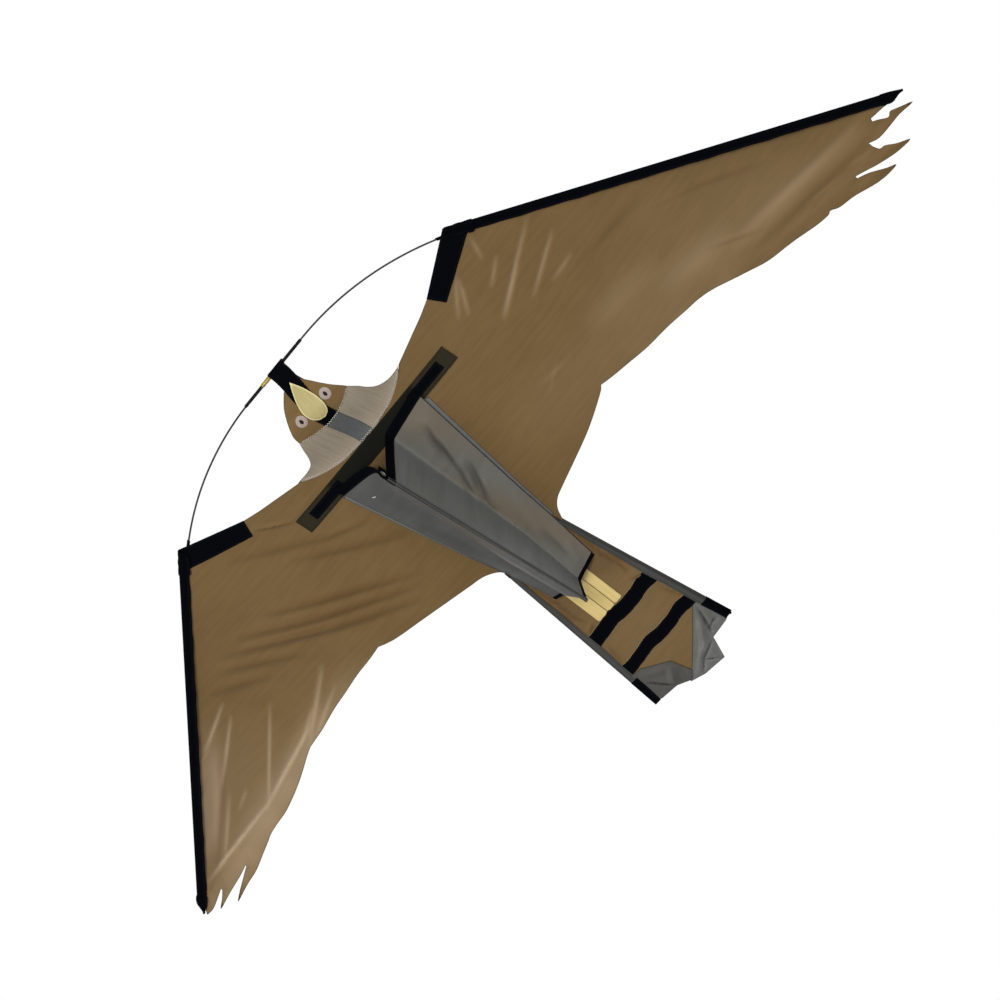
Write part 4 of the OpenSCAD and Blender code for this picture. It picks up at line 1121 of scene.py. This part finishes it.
for sideName, side in sides.items():
    seam = [(mix(keel["sideFront"], keel["sideRear"], u), mix(keel["front"], keel["rear"], u))
            for u in np.linspace(*keel["seamSpan"], 60)]
    inner = [(x - 0.8, y) for x, y in seam if y < keel["hemEnd"]]
    hem = keel["hem"][sideName]
    outer = [(x + mix(*hem, min(1, k / 44)), y) for k, (x, y) in enumerate(seam) if y < keel["hemEnd"]]
    cutSheet(sideName + "KeelHem", np.array(inner[::-1] + outer) * (side, 1), onBelly(1, 0.5), {
        "finish": "greyCloth", "thick": 0.5, "pitch": 2.0})
    line = np.array(seam) * (side, 1)
    thread(sideName + "SeamThread", np.column_stack([line, sailZ(*line.T) - 1.25]), 0.55, "darkThread")
    us, vs = np.meshgrid(np.linspace(0, 1, 110), np.linspace(0, 1, 56), indexing="ij")
    alongSail = ease((0.52 - vs) / 0.06)
    patch = 0.9 * np.exp(-(((us - 0.5) / 0.25) ** 2) - ((vs - 0.75) / 0.2) ** 2)
    # painted warm light from the brown sail: along the sail on the left panel, in a patch on the right
    warm = alongSail * (0.5 + 0.25 * np.sin(us * 9 + vs * 7)) if side > 0 else patch
    panel = keelPoint(sideName, us, vs)
    # painted shade in the panel's creases
    creaseShade = creaseShadeShare(panel[..., 0], panel[..., 1], keel[sideName]["folds"], 0.18) * alongSail
    stripSheet(sideName + "RearBinding", keelBinding(sideName, False, keel["rearLip"], 0.6), {
        "finish": "blackTape", "thick": 0.55})
    stripSheet(sideName + "KeelPanel", panel, {
        "marks": {"warm": warm.ravel(), "creaseShade": creaseShade.ravel()},
        "with": [sideName + "KeelHem", sideName + "RearBinding"]
                + (["ridgeTape", "towTab"] if side > 0 else []),
        "finish": "greyCloth" if side > 0 else "shadedGreyCloth", "thick": keel["thick"], "held": "stretched",
        "restsOn": [sideName + "Sail"]})
    stripSheet(sideName + "MouthBinding", keelBinding(sideName, True, keel["lip"], 0.62), {
        "finish": "blackTape", "thick": 0.6, "held": "folded", "restsOn": [sideName + "KeelPanel"]})
us, vs = np.linspace(*keel["tackU"], 6), np.linspace(*keel["tackV"], 6)
tack = keelPoint("right", us, vs) + 0.9 * keelNormal("right", us, vs)
thread("keelTack", tack, 0.65, "whiteThread")
print("keel sewn")


def towEyelet():
    bpy.ops.object.select_all(action="DESELECT")
    bpy.ops.mesh.primitive_circle_add(vertices=4, radius=0.0001, location=(0, 0, 0))
    piece = bpy.context.active_object
    piece.name = "towEyelet"
    mesh = piece.data
    bore, flange = tow["bore"], tow["flange"]
    crown, shoulder, foot = tow["heights"]
    profile = [(bore, 0), (bore, foot), (bore + 0.25, shoulder), (bore + 0.8, crown), (flange - 0.5, crown),
               (flange, shoulder - 0.1), (flange - 0.1, foot)]
    profile = profile + [(r, -h) for r, h in profile[::-1] if h]
    mesh.clear_geometry()
    steps = [(k, k + 1) for k in range(len(profile) - 1)]
    mesh.from_pydata([(h / 1000, r / 1000, 0) for r, h in profile], steps, [])
    bpy.ops.object.mode_set(mode="EDIT")
    bpy.ops.mesh.select_all(action="SELECT")
    bpy.ops.mesh.spin(steps=48, angle=2 * math.pi, center=(0, 0, 0), axis=(1, 0, 0))
    bpy.ops.mesh.select_all(action="SELECT")
    bpy.ops.mesh.remove_doubles(threshold=1e-6)
    bpy.ops.mesh.normals_make_consistent(inside=False)
    bpy.ops.object.mode_set(mode="OBJECT")
    bpy.ops.object.shade_smooth_by_angle(angle=math.radians(40))
    mesh.materials.append(finishes["eyeletMetal"].material)
    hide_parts("tow_eyelet")
    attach(piece, "body")


towEyelet()
print("tow point fitted")

# Tail: pale panel in three strips, two wavy bands, sleeves over the rods, end pockets, loose flaps
tail = {
    "strips": [(-26.5, -9.8), (-9.5, 3.4), (3.7, 16.8)], "stripFront": 424, "stripRear": 489,
    "stripLean": -3.2, "bands": {"Front": (489.5, 19), "Rear": (544.5, 16.5)}, "bandInset": 5.5,
    "waves": [(1.5, 60, 0), (0.4, 27, 1)],   # height, length and phase
    "sleeve": (3.4, 7.0), "pocketStart": 568, "pocketEnd": {"left": 602, "right": 608}, "tack": (363, 371),
    "leftFlap": [(63, 552), (52, 556), (-2, 598), (-16, 608), (-26, 622), (-7.4, 629), (23.4, 633),
                 (35.8, 606.4), (62, 604.3), (66, 603), (66, 578)],
    "rightFlap": [(-62, 560), (-59, 563), (-49, 564.2), (-18.8, 585.8), (-12.8, 613), (-22.8, 621),
                  (-39.4, 611.8), (-64, 608.5), (-66, 606), (-66, 578)],
}


def stripLift(x, y, edge, along):
    return onBelly(1, 0.5)(x, y, edge, along) - 0.25 * ease(edge / 2.5)


for k, (left, right) in enumerate(tail["strips"], 1):
    outline = rectangle(left, right, tail["stripFront"], tail["stripRear"])
    outline[2:, 0] += tail["stripLean"]
    cutSheet(f"undertailStrip{k}", outline, stripLift, {
        "finish": "creamCloth", "thick": 0.5, "pitch": 1.8, "held": "laid", "replaces": ["undertail_panel"],
        "restsOn": bothSails})


def wave(x):
    return sum(height * np.sin(2 * np.pi * x / length + phase) for height, length, phase in tail["waves"])


for name, (front, width) in tail["bands"].items():
    reach, rearReach = [spineHalf(y) - tail["bandInset"] for y in (front, front + width)]
    ahead = [(x, front + wave(x)) for x in np.linspace(-reach, reach, 40)]
    behind = [(x, front + width + 0.8 * wave(x + 6)) for x in np.linspace(rearReach, -rearReach, 40)]
    cutSheet("tailBand" + name, ahead + behind, onBelly(1, 0.6), {
        "finish": "blackTape", "thick": 0.6, "pitch": 2.2, "held": "laid", "restsOn": bothSails})
    for label, line in (("Ahead", ahead), ("Behind", behind)):
        edgeLine = np.array(line)
        thread(f"tailBand{name}{label}Stitch", np.column_stack([edgeLine, sailZ(*edgeLine.T) - 0.3]), 0.28,
               "taupeThread")


def spinePlace(side, y, off, rise):  # off inward from the rod, rise over its middle
    return np.stack(np.broadcast_arrays(side * (spineHalf(y) - off), y, spineZ(y) + rise), -1)


def rodSleeve(side, ys, widths, bulge, belly, back):  # a tape folded round a spine rod, its hems inward
    turn = np.linspace(0.15, math.pi - 0.05, 10)
    bend = np.column_stack([-bulge * np.sin(turn), -bulge * np.cos(turn)])
    hem = np.array([(1, 0), (0.72, 0), (0.42, 0)])
    shares = np.concatenate([hem[:, 0], np.zeros(len(turn)), hem[::-1, 0]])
    base = np.concatenate([np.zeros(3), bend[:, 0], np.zeros(3)])
    rise = np.concatenate([np.full(3, belly), bend[:, 1], [back + 0.6, back, back]])
    off = base + shares * widths[:, None]
    off = off + shares * 0.4 * np.sin(ys[:, None] / 11.0 + side)
    return spinePlace(side, ys[:, None], off, rise - shares * 0.15 * np.sin(ys[:, None] / 3.1) ** 2)


for sideName, side in sides.items():
    stand = -kite["spineStand"]
    ys = np.arange(kite["crotch"] - 1, tail["pocketStart"] + 3, 3.0)
    widths = mix(*tail["sleeve"], ease((ys - ys[0]) / 150))
    folded = {"held": "folded", "restsOn": [sideName + "_spine_rod"]}
    stripSheet(sideName + "TailSleeve", rodSleeve(side, ys, widths, 3.0, stand - 0.55, stand + 0.9), {
        **folded, "finish": "greySleeve", "thick": 0.5})
    ys = np.linspace(tail["pocketStart"], tail["pocketEnd"][sideName], 20)
    widths = np.full_like(ys, tail["sleeve"][1] + 0.3)
    stripSheet(sideName + "TailPocket", rodSleeve(side, ys, widths, 3.3, stand - 1.1, stand + 1.5), {
        **folded, "finish": "blackTape", "thick": 0.6})


def flapLift(spec):
    def lift(x, y, edge, along):
        pocket = ease((spineHalf(y) - np.abs(x) - 7) / 7)
        free = pocket * ease((edge - 1) / 7) * ease((y - 606 + 0.8 * x) / 14 if spec["stand"] > 0 else 1)
        crumple = 0.7 * np.sin(x / 5.5 + y / 12) + 0.5 * np.sin(y / 6 - x / 8)
        return tailZ(y) + spec["stand"] + free * (crumple - 0.6 + foldHeights(x, y, spec["folds"], True))
    return lift


flaps = {   # the left one lies behind the sail's end, the right one in front of it
    "left": {"stand": 0.75, "finish": "greyCloth", "warm": 0.05, "folds": [
        (57, 560, 36, 609, 3.2, 3.8, 0.6), (63, 572, 50, 604, 7, 2.4, 0.8),
        (48, 570, 16, 612, 7, -3.6, 0.7), (36, 606, 4, 617, 2.6, 3.2, 0.7),
        (5, 617, 24, 635, 2.4, 3.4, 0.7), (6, 617, -10, 628, 2.4, 2.6, 0.7),
        (24, 600, -16, 622, 6, -3.0, 0.7), (60, 592, 40, 596, 2.4, 2.8, 0.7),
    ]},
    "right": {"stand": -0.75, "finish": "shadedGreyCloth", "warm": 0.25, "folds": [
        (-61, 580, -39, 613, 3, 4.2, 0.6), (-24, 588, -42, 612, 9, -4.4, 0.8),
        (-15, 590, -25, 620, 5, 1.6, 0.8), (-58, 570, -30, 590, 8, -1.8, 0.8),
    ]},
}
# the flaps carry painted warm light from the brown sail and painted shade in their creases
for sideName, spec in flaps.items():
    cutSheet(sideName + "TailFlap", tail[sideName + "Flap"], flapLift(spec), {
        "finish": spec["finish"], "thick": 0.4, "pitch": 1.5, "held": "hung", "restsOn": [sideName + "Sail"],
        "marks": {"warm": lambda x, y: np.full_like(x, spec["warm"]),
                  "creaseShade": lambda x, y: creaseShadeShare(x, y, spec["folds"], 0.1, True)}})
for sideName, side in sides.items():
    ys = np.linspace(*tail["tack"], 6)
    tack = np.column_stack([side * (spineHalf(ys) + 1.4), ys, spineZ(ys) - 4.4])
    thread(sideName + "CrotchTack", tack, 0.9, "darkThread")
print("tail sewn")


# Stage: pale floor far below, white ground, soft lamps, and the camera below the flying kite
view = {"azimuth": 52.675, "elevation": -63.841, "place": (2.0417, -1.3899, -5.0867), "lens": 180,
        "sensor": 36}
floorDepth, floorSize = -9.5, 60
softStrength, whiteStrength = 0.32, 1.0


def seenRays(nodes):  # 1 for what the camera, metal and glass see, 0 for the light on the kite
    rays = ("Is Camera Ray", "Is Glossy Ray", "Is Transmission Ray")
    cameraRay, glossyRay, transmissionRay = [nodes.add("ShaderNodeLightPath", {}, {}, ray) for ray in rays]
    return cameraRay.math("MAXIMUM", glossyRay).math("MAXIMUM", transmissionRay)


def stageFinish(name, colour, lit):  # lit: what is seen of it besides the lamps' light
    finish = Finish(name, {"Base Color": paint(*colour), "Roughness": 0.9, "Emission Strength": 1.0})
    finish.surface("Emission Color", finish.blend(seenRays(finish), paint(0, 0, 0), paint(*lit)))
    return finish


bpy.ops.object.select_all(action="DESELECT")
bpy.ops.mesh.primitive_plane_add(size=floorSize, location=(0, 0, floorDepth))
floor = bpy.context.active_object
floor.name = "floor"
floor.data.materials.append(stageFinish("paleFloor", (236, 236, 234), (194, 194, 193)).material)

lamps = {   # place, size, watts
    "rightLamp": ((-2.66, -0.81, -2.16), 1.2, 40),
    "frontLamp": ((0.36, -2.16, -2.86), 1.2, 60),
    "leftLamp": ((2.38, -1.19, -2.11), 1.4, 36),
    "backLamp": ((0.6, -0.4, 3.6), 3.2, 95),
}
for name, (place, size, watts) in lamps.items():
    lamp = bpy.data.lights.new(name, "AREA")
    lamp.size = size
    lamp.energy = watts
    holder = bpy.data.objects.new(name, lamp)
    bpy.context.scene.collection.objects.link(holder)
    holder.location = place
    holder.rotation_euler = (-Vector(place)).to_track_quat("-Z", "Y").to_euler()

world = bpy.data.worlds.new("whiteGround")
bpy.context.scene.world = world
world.use_nodes = True
world.node_tree.nodes.clear()
ground = Nodes(world.node_tree)
soft, white = [ground.add("ShaderNodeBackground", {}, {"Color": (1, 1, 1, 1), "Strength": strength})
               for strength in (softStrength, whiteStrength)]
mixer = ground.add("ShaderNodeMixShader", {}, {0: seenRays(ground), 1: soft, 2: white})
worldOut = world.node_tree.nodes.new("ShaderNodeOutputWorld")
ground.feed(worldOut.inputs["Surface"], mixer)

cameraData = bpy.data.cameras.new("viewFromBelow")
cameraData.lens = view["lens"]
cameraData.sensor_width = view["sensor"]
cameraData.clip_end = 100
camera = bpy.data.objects.new("viewFromBelow", cameraData)
bpy.context.scene.collection.objects.link(camera)
a, e = math.radians(view["azimuth"]), math.radians(view["elevation"])
back = Vector((math.sin(a) * math.cos(e), -math.cos(a) * math.cos(e), math.sin(e)))
right = Vector((math.cos(a), math.sin(a), 0))
turn = Matrix([right, back.cross(right), back]).transposed().to_4x4()
camera.matrix_world = Matrix.Translation(view["place"]) @ turn
bpy.context.scene.camera = camera
bpy.context.scene.view_settings.view_transform = "Standard"
print("stage lit")
